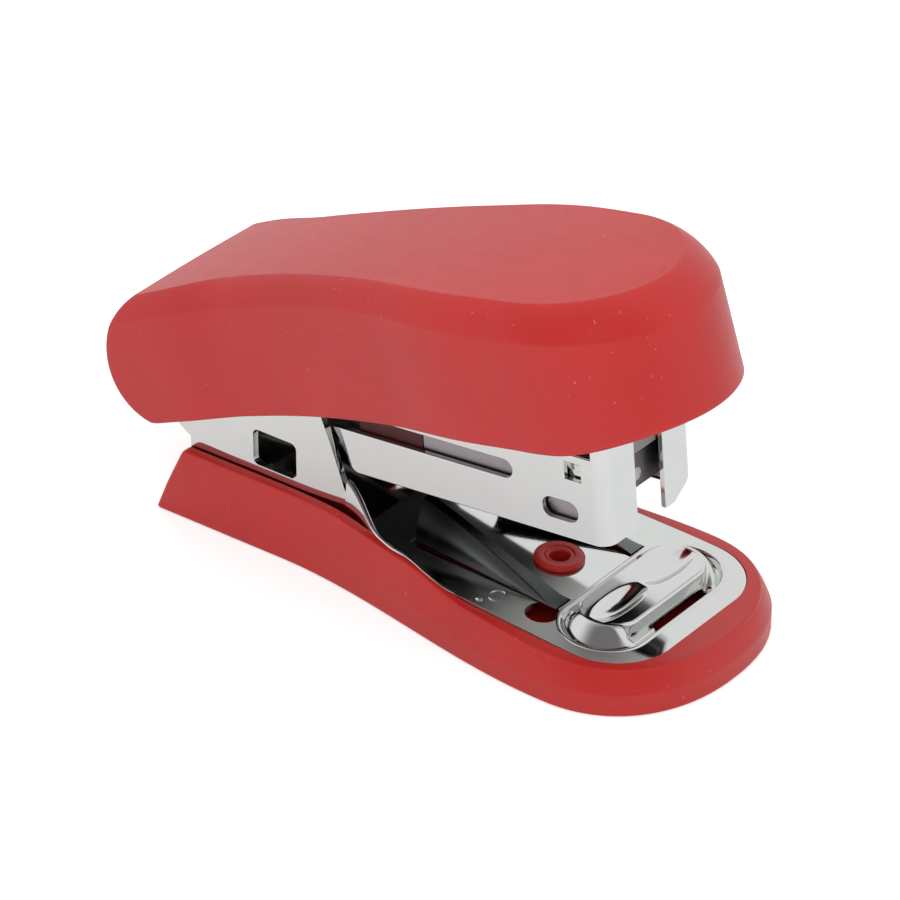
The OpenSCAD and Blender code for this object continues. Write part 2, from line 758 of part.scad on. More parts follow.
function cover_half(u) =
    let (x = min(max((u - bulge_u) / (cover_front_u - bulge_u), 0), 1))
    mix(cover_waist_w, cover_nose_w, smooth((u - flare_u) / (cover_front_u - flare_u))) / 2
    + heel_flare * smooth((waist_u - u) / waist_u) + side_bulge * pow(4 * x * (1 - x), 2);
function panel_v(u) = crown_v - pow(u - 24.5, 2) / (2 * arch_r);
function shoulder_v(u) = panel_v(u) - shoulder_h - shoulder_growth * smooth((u - 26) / 20);
function skirt_low(u) =
    -skirt_v - pow(u - skirt_top_u, 2) / (u < skirt_top_u ? 580 : 337)
    + skirt_lift * smooth((u - skirt_lift_u) / skirt_lift_l);
function heel_at(v, r) = heel_u - sqrt(max(0, r * r - pow(v - heel_v, 2)));

// The shoulder is narrower where the top panel spreads out to meet the heel
function shoulder_in(u) =
    mix(shoulder_w, shoulder_heel_w, smooth((waist_u - u) / (waist_u - heel_front_u)))
    + shoulder_nose * smooth((u - shoulder_nose_u) / (cover_tip - shoulder_nose_u));
// The shoulder runs from this angle, so that it leaves the side wall at a slight crease, up to 90 degrees
shoulder_from = 18;
// A quarter turn flattened towards a bevel
function shoulder_turn(a) = 0.65 * sin(a) + 0.35 * (1 - cos(a));
// Shares of the shoulder's height and of its width at the angle a round it
function shoulder_share(a) =
    (shoulder_turn(a) - shoulder_turn(shoulder_from)) / (1 - shoulder_turn(shoulder_from));
function shoulder_reach(a) = 1 - cos(a) / cos(shoulder_from);
// Ring of the cover's surface, on a heel of radius r; inset and height are functions of u
function cover_ring(inset, height, r) = plan_ring(
    heel_at(height(heel_front_u), r), cover_front_u, cover_tip - inset(cover_tip),
    function(u) cover_half(u) - inset(u), height);
// Level inset of the inner face
function inner(extra) = function(u) cover_t + extra;

// Height that climbs the side wall from its lower edge to the shoulder
function wall_v(t) = function(u) mix(skirt_low(u), shoulder_v(u), t);
// Height that climbs the shoulder to the top panel
function climb_v(t) = function(u) mix(shoulder_v(u), panel_v(u), t);

// Parts of the heel's wall that would meet the magazine and the ears when the handle swings open
heel_notch_v = -4.4;
ear_slot_v = 1.5;

module handle_cover() {
    inner_r = heel_r - cover_t;
    round_steps = 4;
    color(red) handle_place() difference() {
        union() {
            loft(concat(
                [
                    cover_ring(function(u) shoulder_in(u) + 0.4, function(u) panel_v(u) - cover_t, inner_r),
                    cover_ring(inner(0.6), function(u) shoulder_v(u) + 0.4, inner_r),
                    cover_ring(inner(0), function(u) shoulder_v(u) - 0.8, inner_r)
                ],
                [for (t = [0.75, 0.5, 0.25, 0]) cover_ring(inner(0), wall_v(t), inner_r)],
                [for (t = [0:0.125:1]) cover_ring(function(u) 0, wall_v(t), heel_r)],
                [for (k = [1:round_steps]) let (a = mix(shoulder_from, 90, k / round_steps))
                    cover_ring(function(u) shoulder_in(u) * shoulder_reach(a),
                        climb_v(shoulder_share(a)), heel_r)]
            ));
            for (u = [12, 40]) translate([u, -frame_w / 2 + 0.4, frame_v])
                cube([1.2, frame_w - 0.8, panel_v(u) - frame_v - 0.3]);
        }
        translate([-2 * heel_r, -ears_w / 2 - 0.7, -2 * heel_r])
            cube([2 * heel_r + 0.5, ears_w + 1.4, 2 * heel_r + heel_notch_v]);
        for (side = [-1, 1]) translate([-2 * heel_r, side * (ears_w - ear_t) / 2 - ear_t / 2 - 0.3, -2 * heel_r])
            cube([2 * heel_r + 0.5, ear_t + 0.6, 2 * heel_r + ear_slot_v]);
    }
}

arm_front = 14;

module frame_side_2d() {
    difference() {
        union() {
            circle(r = hub_r);
            polygon([
                [-3.1, 0.8], [-1, frame_v], [frame_front - 2, frame_v], [frame_front - 2, frame_v - 2.2],
                [arm_front + 2, frame_v - 2.2], [hub_r, -0.4], [1.2, -2.96]
            ]);
        }
        circle(r = bore_r);
    }
}

tab_drop = 3.8;
rivet_v = frame_v - tab_drop / 2;
rivet_hole_r = 0.65;

module handle_frame() {
    color(chrome) handle_place() difference() {
        union() {
            both_sides(frame_w / 2, frame_t) frame_side_2d();
            translate([-1, -frame_w / 2, frame_v - frame_t]) cube([frame_front + 1, frame_w, frame_t]);
            translate([frame_front - frame_t, -driver_w / 2, frame_v - tab_drop])
                cube([frame_t, driver_w, tab_drop]);
        }
        translate([spring_rivet_u, 0, frame_v]) cylinder(r = 0.85, h = 4 * frame_t, center = true);
        for (side = [-1, 1]) translate([frame_front, side * driver_w / 4, rivet_v])
            rotate([0, 90, 0]) cylinder(r = rivet_hole_r, h = 4 * frame_t, center = true);
    }
}

// Angle above the handle's own axis at which a point of the magazine's frame lies
function in_handle(angle) = angle - tilt_gap;
blade_low = in_handle(asin((staple_crown + driver_lift) / driver_r));
blade_high = asin((frame_v - 0.2) / driver_r);

module driver_blade() {
    color(steel) handle_place() difference() {
        rotate([90, 0, 0]) rotate([0, 0, blade_low]) rotate_extrude(angle = blade_high - blade_low)
            translate([driver_in, -driver_w / 2]) square([driver_t, driver_w]);
        for (side = [-1, 1]) translate([driver_r, side * driver_w / 4, rivet_v])
            rotate([0, 90, 0]) cylinder(r = rivet_hole_r, h = 6 * driver_t, center = true);
    }
}

module driver_rivets() {
    head = 0.45;
    rivet_head_r = 1.05;
    color(steel) handle_place() for (side = [-1, 1])
        translate([frame_front - frame_t - head, side * driver_w / 4, rivet_v]) rotate([0, 90, 0]) {
            cylinder(r = rivet_head_r, h = head);
            cylinder(r = rivet_hole_r - 0.05, h = driver_r - frame_front + frame_t + head + 0.1);
            translate([0, 0, driver_r - frame_front + frame_t + head]) cylinder(r = rivet_head_r, h = head);
        }
}

// The handle spring leaves the frame at its rivet, and its foot rests on the magazine's walls
spring_root_u = 15;
spring_flat = 5.5;
spring_rivet_u = 18;
spring_foot_p = 38;

module handle_spring() {
    foot_u = spring_foot_p * cos(tilt_gap) + shell_top * sin(tilt_gap);
    foot_v = -spring_foot_p * sin(tilt_gap) + shell_top * cos(tilt_gap) + handle_spring_t + 0.15;
    root = [spring_root_u, frame_v - frame_t - 0.02];
    bend = root + [spring_flat, 0];
    reach = foot_u - bend.x;
    // Cubic that leaves the frame along its underside and lands along the magazine's walls
    sweep = function(t)
        pow(1 - t, 2) * ((1 + 2 * t) * bend + t * [reach, 0])
        + t * t * ((3 - 2 * t) * [foot_u, foot_v] - (1 - t) * reach * [cos(tilt_gap), -sin(tilt_gap)]);
    // Flat root, the sweep, and a lip turned up at the end
    curve = function(t)
        (t < 0.2 ? mix(root, bend, t / 0.2) : sweep((t - 0.2) / 0.8)) + [0, 0.5 * smooth((t - 0.94) / 0.06)];
    color(chrome) handle_place() difference() {
        union() {
            leaf(curve, handle_spring_t, frame_w - 2 * frame_t - 0.6, 22);
            leaf(function(t) curve(mix(0.86, 1, t)), handle_spring_t, handle_spring_w, 4);
        }
        translate([spring_rivet_u, 0, frame_v]) cylinder(r = 0.85, h = 4 * frame_t, center = true);
    }
}

module spring_rivet() {
    color(steel) handle_place() translate([spring_rivet_u, 0, frame_v - frame_t - handle_spring_t - 0.04]) {
        translate([0, 0, -0.5]) cylinder(r = 1.5, h = 0.5);
        cylinder(r = 0.8, h = frame_t + handle_spring_t + 0.05);
        translate([0, 0, frame_t + handle_spring_t + 0.04]) cylinder(r = 1.4, h = 0.4);
    }
}

base_tray();
base_plate();
anvil();
plate_eyelet();
lift_spring();
pivot_pin();
magazine_shell();
staple_core();
pivot_bush();
guide_rod();
spring_seat();
pusher_spring();
core_post();
staple_strip();
staple_pusher();
handle_cover();
handle_frame();
driver_blade();
driver_rivets();
handle_spring();
spring_rivet();
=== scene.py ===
"""Finishes and fine detail of a small desk stapler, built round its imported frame.

The frame holds every rigid piece at its true size.  Here the moulded and pressed pieces get smooth
surfaces worked out from the same sizes, the plain metal pieces get their edges rounded, and every
piece gets its finish.  Lengths are in millimetres until a mesh is made.
"""

from __future__ import annotations

import logging
import math
from dataclasses import dataclass
from enum import Enum
from typing import Callable

import bmesh
import bpy
import numpy as np
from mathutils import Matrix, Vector


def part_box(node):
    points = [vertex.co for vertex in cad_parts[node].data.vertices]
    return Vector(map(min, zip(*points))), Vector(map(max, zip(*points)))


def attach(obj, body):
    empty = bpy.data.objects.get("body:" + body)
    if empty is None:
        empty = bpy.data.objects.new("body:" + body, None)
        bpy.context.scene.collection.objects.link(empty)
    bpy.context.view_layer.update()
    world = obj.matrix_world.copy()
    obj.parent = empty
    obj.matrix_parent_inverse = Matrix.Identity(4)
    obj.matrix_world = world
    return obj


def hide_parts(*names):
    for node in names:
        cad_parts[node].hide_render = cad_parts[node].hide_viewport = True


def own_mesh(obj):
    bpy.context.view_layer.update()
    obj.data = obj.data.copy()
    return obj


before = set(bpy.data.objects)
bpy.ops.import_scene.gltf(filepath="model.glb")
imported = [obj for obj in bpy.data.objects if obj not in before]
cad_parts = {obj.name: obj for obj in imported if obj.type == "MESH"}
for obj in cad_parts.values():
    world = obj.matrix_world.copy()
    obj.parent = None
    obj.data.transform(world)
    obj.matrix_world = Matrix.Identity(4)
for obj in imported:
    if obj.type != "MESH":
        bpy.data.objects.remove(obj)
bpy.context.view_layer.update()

LOG = logging.getLogger("stapler")
MM = 0.001
WELD = 2e-6  # metres within which two points are one
COPY_SHARP = 50.0  # degrees past which a copied node's edge isn't shaded smooth
ROUNDED_FROM = 38.0  # degrees past which a copied node's edge is rounded
Profile = Callable[[np.ndarray], np.ndarray]
Triple = tuple[float, float, float]


# ---- Numbers that run along a shape ----

def smooth(t: np.ndarray) -> np.ndarray:
    """Ease from 0 to 1: three t squared less two t cubed, held at both ends."""
    c = np.clip(t, 0.0, 1.0)
    return c * c * (3.0 - 2.0 * c)


def past(x: np.ndarray, start: float, length: float) -> np.ndarray:
    """Ease from 0 at a start to 1 a length further on."""
    return smooth((x - start) / length)


def mix(a: np.ndarray, b: np.ndarray, t: np.ndarray) -> np.ndarray:
    """Straight blend from a to b as t goes from 0 to 1."""
    return a + (b - a) * t


def level(value: float) -> Profile:
    """A profile that has the same value all along."""
    return lambda u: np.full_like(np.asarray(u, float), value)


class Body(Enum):
    """The bodies that move against each other."""

    BASE = "base"
    MAGAZINE = "magazine"
    PUSHER = "pusher"
    HANDLE = "handle"


class Slot(Enum):
    """The record's material slots."""

    RED = "red_plastic"
    DARK_RED = "dark_red_plastic"
    CHROME = "chrome"
    STEEL = "steel"
    WIRE = "wire"


@dataclass(frozen=True)
class Place:
    """A frame that is turned about Y: its own length, width and height become a place on the stapler."""

    x: float
    z: float
    tilt: float

    def put(self, along: np.ndarray, across: np.ndarray, up: np.ndarray) -> np.ndarray:
        """Turns lengths along, across and up in this frame into points.

        Args:
            along: distance along the frame, positive to the nose.
            across: distance from the middle plane.
            up: height over the frame's origin.

        Returns:
            Points, with the three coordinates last.
        """
        c = math.cos(math.radians(self.tilt))
        s = math.sin(math.radians(self.tilt))
        along, across, up = np.broadcast_arrays(along, across, up)
        return np.stack([self.x + along * c - up * s, across, self.z + along * s + up * c], axis=-1)


def centre_mm(node: str) -> Vector:
    """Middle of a node's box, in millimetres."""
    low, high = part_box(node)
    return (low + high) / (2.0 * MM)


PIVOT = centre_mm("pivot_pin")
TABLE = Place(0.0, 0.0, 0.0)
HANDLE = Place(0.0, PIVOT.z, 18.0)
MAGAZINE = Place(0.0, PIVOT.z, 5.1)
ANVIL_X = centre_mm("anvil").x - 0.03
PLATE_Z = 4.95
PLATE_FALL = 3.4  # degrees by which the plate falls towards the nose
PLATE = Place(51.7, PLATE_Z, -PLATE_FALL)
EYELET_X = 41.5  # the eyelet's middle, from the pivot


# ---- Meshes ----

class Skin:
    """Patches of points that are welded into one mesh."""

    def __init__(self) -> None:
        """Starts with no patches."""
        self.points: list[np.ndarray] = []
        self.faces: list[np.ndarray] = []
        self.count = 0

    def patch(self, grid: np.ndarray, wrap: bool = False, keep: np.ndarray | None = None) -> Skin:
        """Adds a grid of points, joined by a quad in each cell.

        Args:
            grid: points in millimetres, rows by columns by three.
            wrap: whether the last column joins the first.
            keep: which cells are kept, rows less one by columns.

        Returns:
            The skin itself.
        """
        rows, columns = grid.shape[:2]
        index = self.count + np.arange(rows * columns).reshape(rows, columns)
        ahead = np.roll(index, -1, axis=1)
        quads = np.stack([index[:-1], ahead[:-1], ahead[1:], index[1:]], axis=-1)
        if not wrap:
            quads = quads[:, :-1]
        if keep is not None:
            quads = quads[keep[:, : quads.shape[1]]]
        self.points.append(grid.reshape(-1, 3))
        self.faces.append(quads.reshape(-1, 4))
        self.count += rows * columns
        return self

    def mesh(self, name: str) -> bpy.types.Mesh:
        """Welds the patches into one mesh, in metres.

        Args:
            name: the mesh's name.

        Returns:
            The mesh.
        """
        made = bpy.data.meshes.new(name)
        points = np.concatenate(self.points) * MM
        made.from_pydata(points.tolist(), [], np.concatenate(self.faces).tolist())
        weld(made)
        return made

    def build(self, name: str, body: Body, finish: Finish, sharp: float = 35.0) -> bpy.types.Object:
        """Makes one object that rides on a body.

        Args:
            name: the piece's name.
            body: the body that it moves with.
            finish: what it is made of.
            sharp: the angle in degrees past which an edge isn't shaded smooth.

        Returns:
            The finished object.
        """
        return dress(self.mesh(name), name, body, finish, sharp)


def weld(mesh: bpy.types.Mesh, flatten: bool = False) -> None:
    """Joins points that lie together, drops faces with no area and turns every face outwards.

    Args:
        mesh: the mesh, changed in place.
        flatten: whether faces that lie in one plane become one face.
    """
    work = bmesh.new()
    work.from_mesh(mesh)
    bmesh.ops.remove_doubles(work, verts=work.verts, dist=WELD)
    bmesh.ops.dissolve_degenerate(work, edges=work.edges, dist=WELD)
    if flatten:
        bmesh.ops.dissolve_limit(work, angle_limit=math.radians(0.5), verts=work.verts, edges=work.edges)
    bmesh.ops.recalc_face_normals(work, faces=work.faces)
    work.to_mesh(mesh)
    work.free()


def dress(mesh: bpy.types.Mesh, name: str, body: Body, finish: Finish, sharp: float) -> bpy.types.Object:
    """Makes an object of a mesh, with its finish, and sets it on its body.

    Args:
        mesh: the mesh, already in its place.
        name: the object's name.
        body: the body that it moves with.
        finish: what it is made of.
        sharp: the angle in degrees past which an edge isn't shaded smooth.

    Returns:
        The object.
    """
    mesh.materials.clear()
    mesh.materials.append(finish.material())
    mesh.shade_smooth()
    mesh.set_sharp_from_angle(angle=math.radians(sharp))
    piece = bpy.data.objects.new(name, mesh)
    bpy.context.scene.collection.objects.link(piece)
    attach(piece, body.value)
    LOG.info("made %s: %d faces", name, len(mesh.polygons))
    return piece


def rounded_copy(
    node: str, body: Body, finish: Finish, width: float, segments: int = 2,
) -> bpy.types.Object:
    """Stands in for a node by a welded copy of it with rounded edges.

    Args:
        node: the node that is replaced.
        body: the body that it moves with.
        finish: what it is made of.
        width: how far the rounding runs from each edge, in millimetres.
        segments: faces across the rounding.

    Returns:
        The piece.
    """
    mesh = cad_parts[node].data.copy()
    mesh.name = node + "_rounded"
    weld(mesh, flatten=True)
    piece = dress(mesh, node + "_rounded", body, finish, COPY_SHARP)
    bevel = piece.modifiers.new("rounded_edges", "BEVEL")
    bevel.width = width * MM
    bevel.segments = segments
    bevel.limit_method = "ANGLE"
    bevel.angle_limit = math.radians(ROUNDED_FROM)
    bevel.use_clamp_overlap = True
    bevel.harden_normals = True
    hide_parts(node)
    return piece


def ring_round(along: np.ndarray, across: np.ndarray, up: np.ndarray, rear: np.ndarray) -> np.ndarray:
    """Closes the near side's points into a full ring.

    Args:
        along: distance along, from the heel to the nose.
        across: distance from the middle plane, none at the nose.
        up: height.
        rear: shares of the half width, from 1 to -1, at which the heel's own points lie.

    Returns:
        Points along, across and up: the near side out, the far side back, and across the heel.
    """
    near = np.stack([along, -across, up], axis=-1)
    far = np.stack([along, across, up], axis=-1)[-2::-1]
    back = rear[1:-1]
    heel = np.stack([np.full_like(back, along[0]), back * across[0], np.full_like(back, up[0])], axis=-1)
    return np.concatenate([near, far, heel])


@dataclass(frozen=True)
class Outline:
    """Plan outline with a heel whose corners are rounded, straight sides and a superellipse for a nose."""

    front: float
    power: float = 2.0
    corner: float = 0.4
    corner_steps: int = 5
    side_steps: int = 84
    nose_steps: int = 34
    strips: int = 16

    def near(self, heel: float, tip: float, half: Profile) -> tuple[np.ndarray, np.ndarray]:
        """The near side's points: a quarter turn round the heel's corner, the side, and the nose.

        Args:
            heel: where the outline starts.
            tip: where it ends.
            half: half the width at a distance along.

        Returns:
            Distances along and across.
        """
        turn = np.radians(np.linspace(0.0, 90.0, self.corner_steps + 1))[:-1]
        start = heel + self.corner
        wide = float(half(np.array([start]))[0])
        corner_u = start - self.corner * np.cos(turn)
        corner_y = wide - self.corner * (1.0 - np.sin(turn))
        side_u = np.linspace(start, self.front, self.side_steps + 1)
        swing = np.radians(np.linspace(0.0, 90.0, self.nose_steps + 1))[1:]
        shrink = np.clip(np.cos(swing), 0.0, 1.0) ** (2.0 / self.power)
        shrink[-1] = 0.0
        nose_u = self.front + (tip - self.front) * np.sin(swing) ** (2.0 / self.power)
        nose_y = float(half(np.array([self.front]))[0]) * shrink
        return np.concatenate([corner_u, side_u, nose_u]), np.concatenate([corner_y, half(side_u), nose_y])

    def ring(self, heel: float, tip: float, half: Profile, height: Profile) -> np.ndarray:
        """One closed ring.

        Args:
            heel: where the outline starts.
            tip: where it ends.
            half: half the width at a distance along.
            height: the height at a distance along.

        Returns:
            Points along, across and up, one row each.
        """
        along, across = self.near(heel, tip, half)
        return ring_round(along, across, height(along), np.linspace(1.0, -1.0, self.strips + 1))

    def deck(self, ring: np.ndarray, rise: float = 0.0) -> np.ndarray:
        """A grid that closes a ring by strips from the near side to the far side.

        Args:
            ring: the ring.
            rise: how far the middle is crowned, as one less the share across squared.

        Returns:
            Points along, across and up, with a row for each strip across.
        """
        count = self.corner_steps + self.side_steps + self.nose_steps + 1
        near = ring[:count]
        share = np.linspace(-1.0, 1.0, self.strips + 1)[None, :]
        along = np.repeat(near[:, 0:1], self.strips + 1, axis=1)
        crown = rise * (1.0 - share**2) * np.abs(near[:, 1:2]) / np.abs(near[:, 1]).max()
        return np.stack([along, -near[:, 1:2] * share, near[:, 2:3] + crown], axis=-1)


def placed(place: Place, grid: np.ndarray) -> np.ndarray:
    """Moves points from a frame's own coordinates to the stapler's."""
    return place.put(grid[..., 0], grid[..., 1], grid[..., 2])


def closed_rings(place: Place, outline: Outline, rings: list[np.ndarray], rise: float = 0.0) -> Skin:
    """A closed skin through rings, with a deck over the first and the last.

    Args:
        place: the frame of the rings.
        outline: the outline that made them.
        rings: the rings, in order over the surface.
        rise: the crown of the last deck.

    Returns:
        The skin.
    """
    skin = Skin().patch(placed(place, np.stack(rings)), wrap=True)
    skin.patch(placed(place, outline.deck(rings[0])))
    return skin.patch(placed(place, outline.deck(rings[-1], rise)))


def block(place: Place, low: Triple, high: Triple) -> Skin:
    """A cuboid cutter.

    Args:
        place: the frame of the corners.
        low: its lowest corner.
        high: its highest corner.

    Returns:
        The skin.
    """
    a, b = np.array(low), np.array(high)
    loop = np.array([[a[0], a[1]], [b[0], a[1]], [b[0], b[1]], [a[0], b[1]]])
    rings = np.stack([np.column_stack([loop, np.full(4, z)]) for z in (a[2], b[2])])
    caps = rings[:, [0, 1, 3, 2]].reshape(2, 2, 2, 3)
    skin = Skin().patch(placed(place, rings), wrap=True)
    return skin.patch(placed(place, caps[0])).patch(placed(place, caps[1]))


def channel(place: Place, along: np.ndarray, half: np.ndarray, low: float, high: float) -> Skin:
    """A closed prism about the middle plane.

    Args:
        place: the frame of the sizes.
        along: distances along.
        half: half the width at each of them.
        low: height of its underside.
        high: height of its top.

    Returns:
        The skin.
    """
    near, far = np.column_stack([along, -half]), np.column_stack([along, half])
    loop = np.concatenate([near, far[::-1]])
    rings = [np.column_stack([loop, np.full(len(loop), z)]) for z in (low, high)]
    skin = Skin().patch(placed(place, np.stack(rings)), wrap=True)
    sides = np.stack([near, far], axis=1)
    for z in (low, high):
        skin.patch(placed(place, np.concatenate([sides, np.full((len(along), 2, 1), z)], axis=2)))
    return skin


def carved(solid: Skin, cutters: list[Skin]) -> bpy.types.Mesh:
    """Takes cutters away from a closed skin.

    Args:
        solid: the skin that is cut.
        cutters: closed skins.

    Returns:
        The cut mesh.
    """
    scene = bpy.context.scene.collection
    objects = [bpy.data.objects.new("carving", skin.mesh("carving")) for skin in [solid, *cutters]]
    for item in objects:
        scene.objects.link(item)
    for cutter in objects[1:]:
        cut = objects[0].modifiers.new("cut", "BOOLEAN")
        cut.operation = "DIFFERENCE"
        cut.solver = "EXACT"
        cut.object = cutter
    bpy.context.view_layer.update()
    graph = bpy.context.evaluated_depsgraph_get()
    mesh = bpy.data.meshes.new_from_object(objects[0].evaluated_get(graph))
    for item in objects:
        spare = item.data
        bpy.data.objects.remove(item)
        bpy.data.meshes.remove(spare)
    return mesh


# ---- Shader nodes ----

class Value:
    """A socket that can be added to, taken away from and multiplied like a number."""

    def __init__(self, graph: Graph, socket: bpy.types.NodeSocket) -> None:
        """Wraps a socket of a graph."""
        self.graph = graph
        self.socket = socket

    def _do(self, operation: str, *values: Value | float) -> Value:
        """Adds one Math node."""
        inputs = dict(enumerate(values))
        return self.graph.node("ShaderNodeMath", {"operation": operation}, inputs)

    def __add__(self, other: Value | float) -> Value:
        """Sum."""
        return self._do("ADD", self, other)

    __radd__ = __add__

    def __sub__(self, other: Value | float) -> Value:
        """Difference."""
        return self._do("SUBTRACT", self, other)

    def __rsub__(self, other: float) -> Value:
        """Difference from a number."""
        return self._do("SUBTRACT", other, self)

    def __mul__(self, other: Value | float) -> Value:
        """Product."""
        return self._do("MULTIPLY", self, other)

    __rmul__ = __mul__

    def clamped(self) -> Value:
        """The value, held between 0 and 1."""
        return self.graph.node("ShaderNodeClamp", {}, {"Value": self})

    def step(self, low: float, high: float) -> Value:
        """Eases from 0 at low to 1 at high."""
        inputs = {"Value": self, "From Min": low, "From Max": high}
        return self.graph.node("ShaderNodeMapRange", {"interpolation_type": "SMOOTHSTEP"}, inputs)


class Graph:
    """A node tree that is filled by one method."""

    def __init__(self, tree: bpy.types.NodeTree) -> None:
        """Empties the tree."""
        self.tree = tree
        tree.nodes.clear()

    def node(
        self, kind: str, settings: dict[str, object], inputs: dict[object, object], out: object = 0,
    ) -> Value:
        """Adds a node.

        Args:
            kind: the node's type.
            settings: its own settings, set first.
            inputs: a value or a link for each socket, by name or number.
            out: the output that is returned.

        Returns:
            The output, wrapped.
        """
        made = self.tree.nodes.new(kind)
        for key, setting in settings.items():
            setattr(made, key, setting)
        for key, value in inputs.items():
            if isinstance(value, Value):
                self.tree.links.new(value.socket, made.inputs[key])
            else:
                made.inputs[key].default_value = value
        return Value(self, made.outputs[out]) if len(made.outputs) else Value(self, None)

    def place(self, scale: Triple = (1.0, 1.0, 1.0)) -> Value:
        """Object coordinates in millimetres.

        Args:
            scale: how much closer a pattern lies along each axis.

        Returns:
            The coordinates.
        """
        where = self.node("ShaderNodeTexCoord", {}, {}, "Object")
        stretch = tuple(s / MM for s in scale)
        return self.node("ShaderNodeMapping", {}, {"Vector": where, "Scale": stretch})

    def parts(self, vector: Value) -> tuple[Value, ...]:
        """The coordinates of a vector along X, Y and Z."""
        split = self.node("ShaderNodeSeparateXYZ", {}, {"Vector": vector})
        return tuple(Value(self, output) for output in split.socket.node.outputs)

    def noise(self, per_mm: float, detail: float = 3.0, where: Value | None = None) -> Value:
        """Cloudy noise about 0.5, with so many cells to a millimetre."""
        inputs = {"Vector": where or self.place(), "Scale": per_mm, "Detail": detail}
        return self.node("ShaderNodeTexNoise", {}, inputs, "Fac")

    def blend(self, a: object, b: object, factor: Value | float) -> Value:
        """Blend of two colours."""
        return self.node("ShaderNodeMix", {"data_type": "RGBA"}, {"Factor": factor, 6: a, 7: b}, 2)

    def bump(self, height: Value, strength: float, depth: float) -> Value:
        """Normal bent by a height, whose full range stands for so many millimetres."""
        inputs = {"Height": height, "Strength": strength, "Distance": depth * MM}
        return self.node("ShaderNodeBump", {}, inputs)


def rgba(colour: Triple, gain: float = 1.0) -> tuple[float, float, float, float]:
    """A colour with full alpha, made lighter or darker by a gain."""
    return (colour[0] * gain, colour[1] * gain, colour[2] * gain, 1.0)


@dataclass(frozen=True)
class Finish:
    """A material of the stapler; each kind fills its own nodes."""

    name: str
    slot: Slot
    colour: Triple
    roughness: float

    def material(self) -> bpy.types.Material:
        """Makes the material, or finds the one made before.

        Returns:
            The material.
        """
        found = bpy.data.materials.get(self.name)
        if found is not None:
            return found
        made = bpy.data.materials.new(self.name)
        made.use_nodes = True
        graph = Graph(made.node_tree)
        surface = graph.node("ShaderNodeBsdfPrincipled", {}, self.sockets(graph))
        graph.node("ShaderNodeOutputMaterial", {}, {"Surface": surface})
        return made

    def sockets(self, graph: Graph) -> dict[object, object]:
        """What the shader's sockets get."""
        return {"Base Color": rgba(self.colour), "Roughness": self.roughness}


@dataclass(frozen=True)
class MouldedPlastic(Finish):
    """Glossy moulded plastic: faint clouds in the colour, moulding grain, and a few pale specks."""

    clouds_per_mm: float = 0.09
    specks_per_mm: float = 2.4
    speck_peak: tuple[float, float] = (0.83, 0.86)
    speck_share: float = 0.45
    paler: float = 0.16
    grain_per_mm: float = 7.0
    grain: float = 0.012
    swell_per_mm: float = 0.22
    swell: float = 0.10

    def sockets(self, graph: Graph) -> dict[object, object]:
        """Clouds change the colour by a few hundredths; specks are the rare peaks of a fine noise.

        Args:
            graph: the material's nodes.

        Returns:
            A value or a link for each socket.
        """
        clouds = graph.noise(self.clouds_per_mm, 3.0)
        specks = graph.noise(self.specks_per_mm, 0.0).step(*self.speck_peak)
        base = graph.blend(rgba(self.colour, 0.965), rgba(self.colour, 1.035), clouds.step(0.3, 0.7))
        pale = tuple(min(1.0, part + self.paler) for part in self.colour)
        colour = graph.blend(base, rgba(pale), specks * self.speck_share)
        rough = self.roughness + (graph.noise(0.6, 4.0) - 0.5) * 0.10
        soft = graph.bump(graph.noise(self.swell_per_mm, 1.0), 0.10, self.swell)
        fine = graph.node("ShaderNodeBump", {}, {
            "Height": graph.noise(self.grain_per_mm, 2.0), "Strength": 0.35, "Distance": self.grain * MM,
            "Normal": soft})
        return {"Base Color": colour, "Roughness": rough.clamped(), "Normal": fine, "IOR": 1.49}


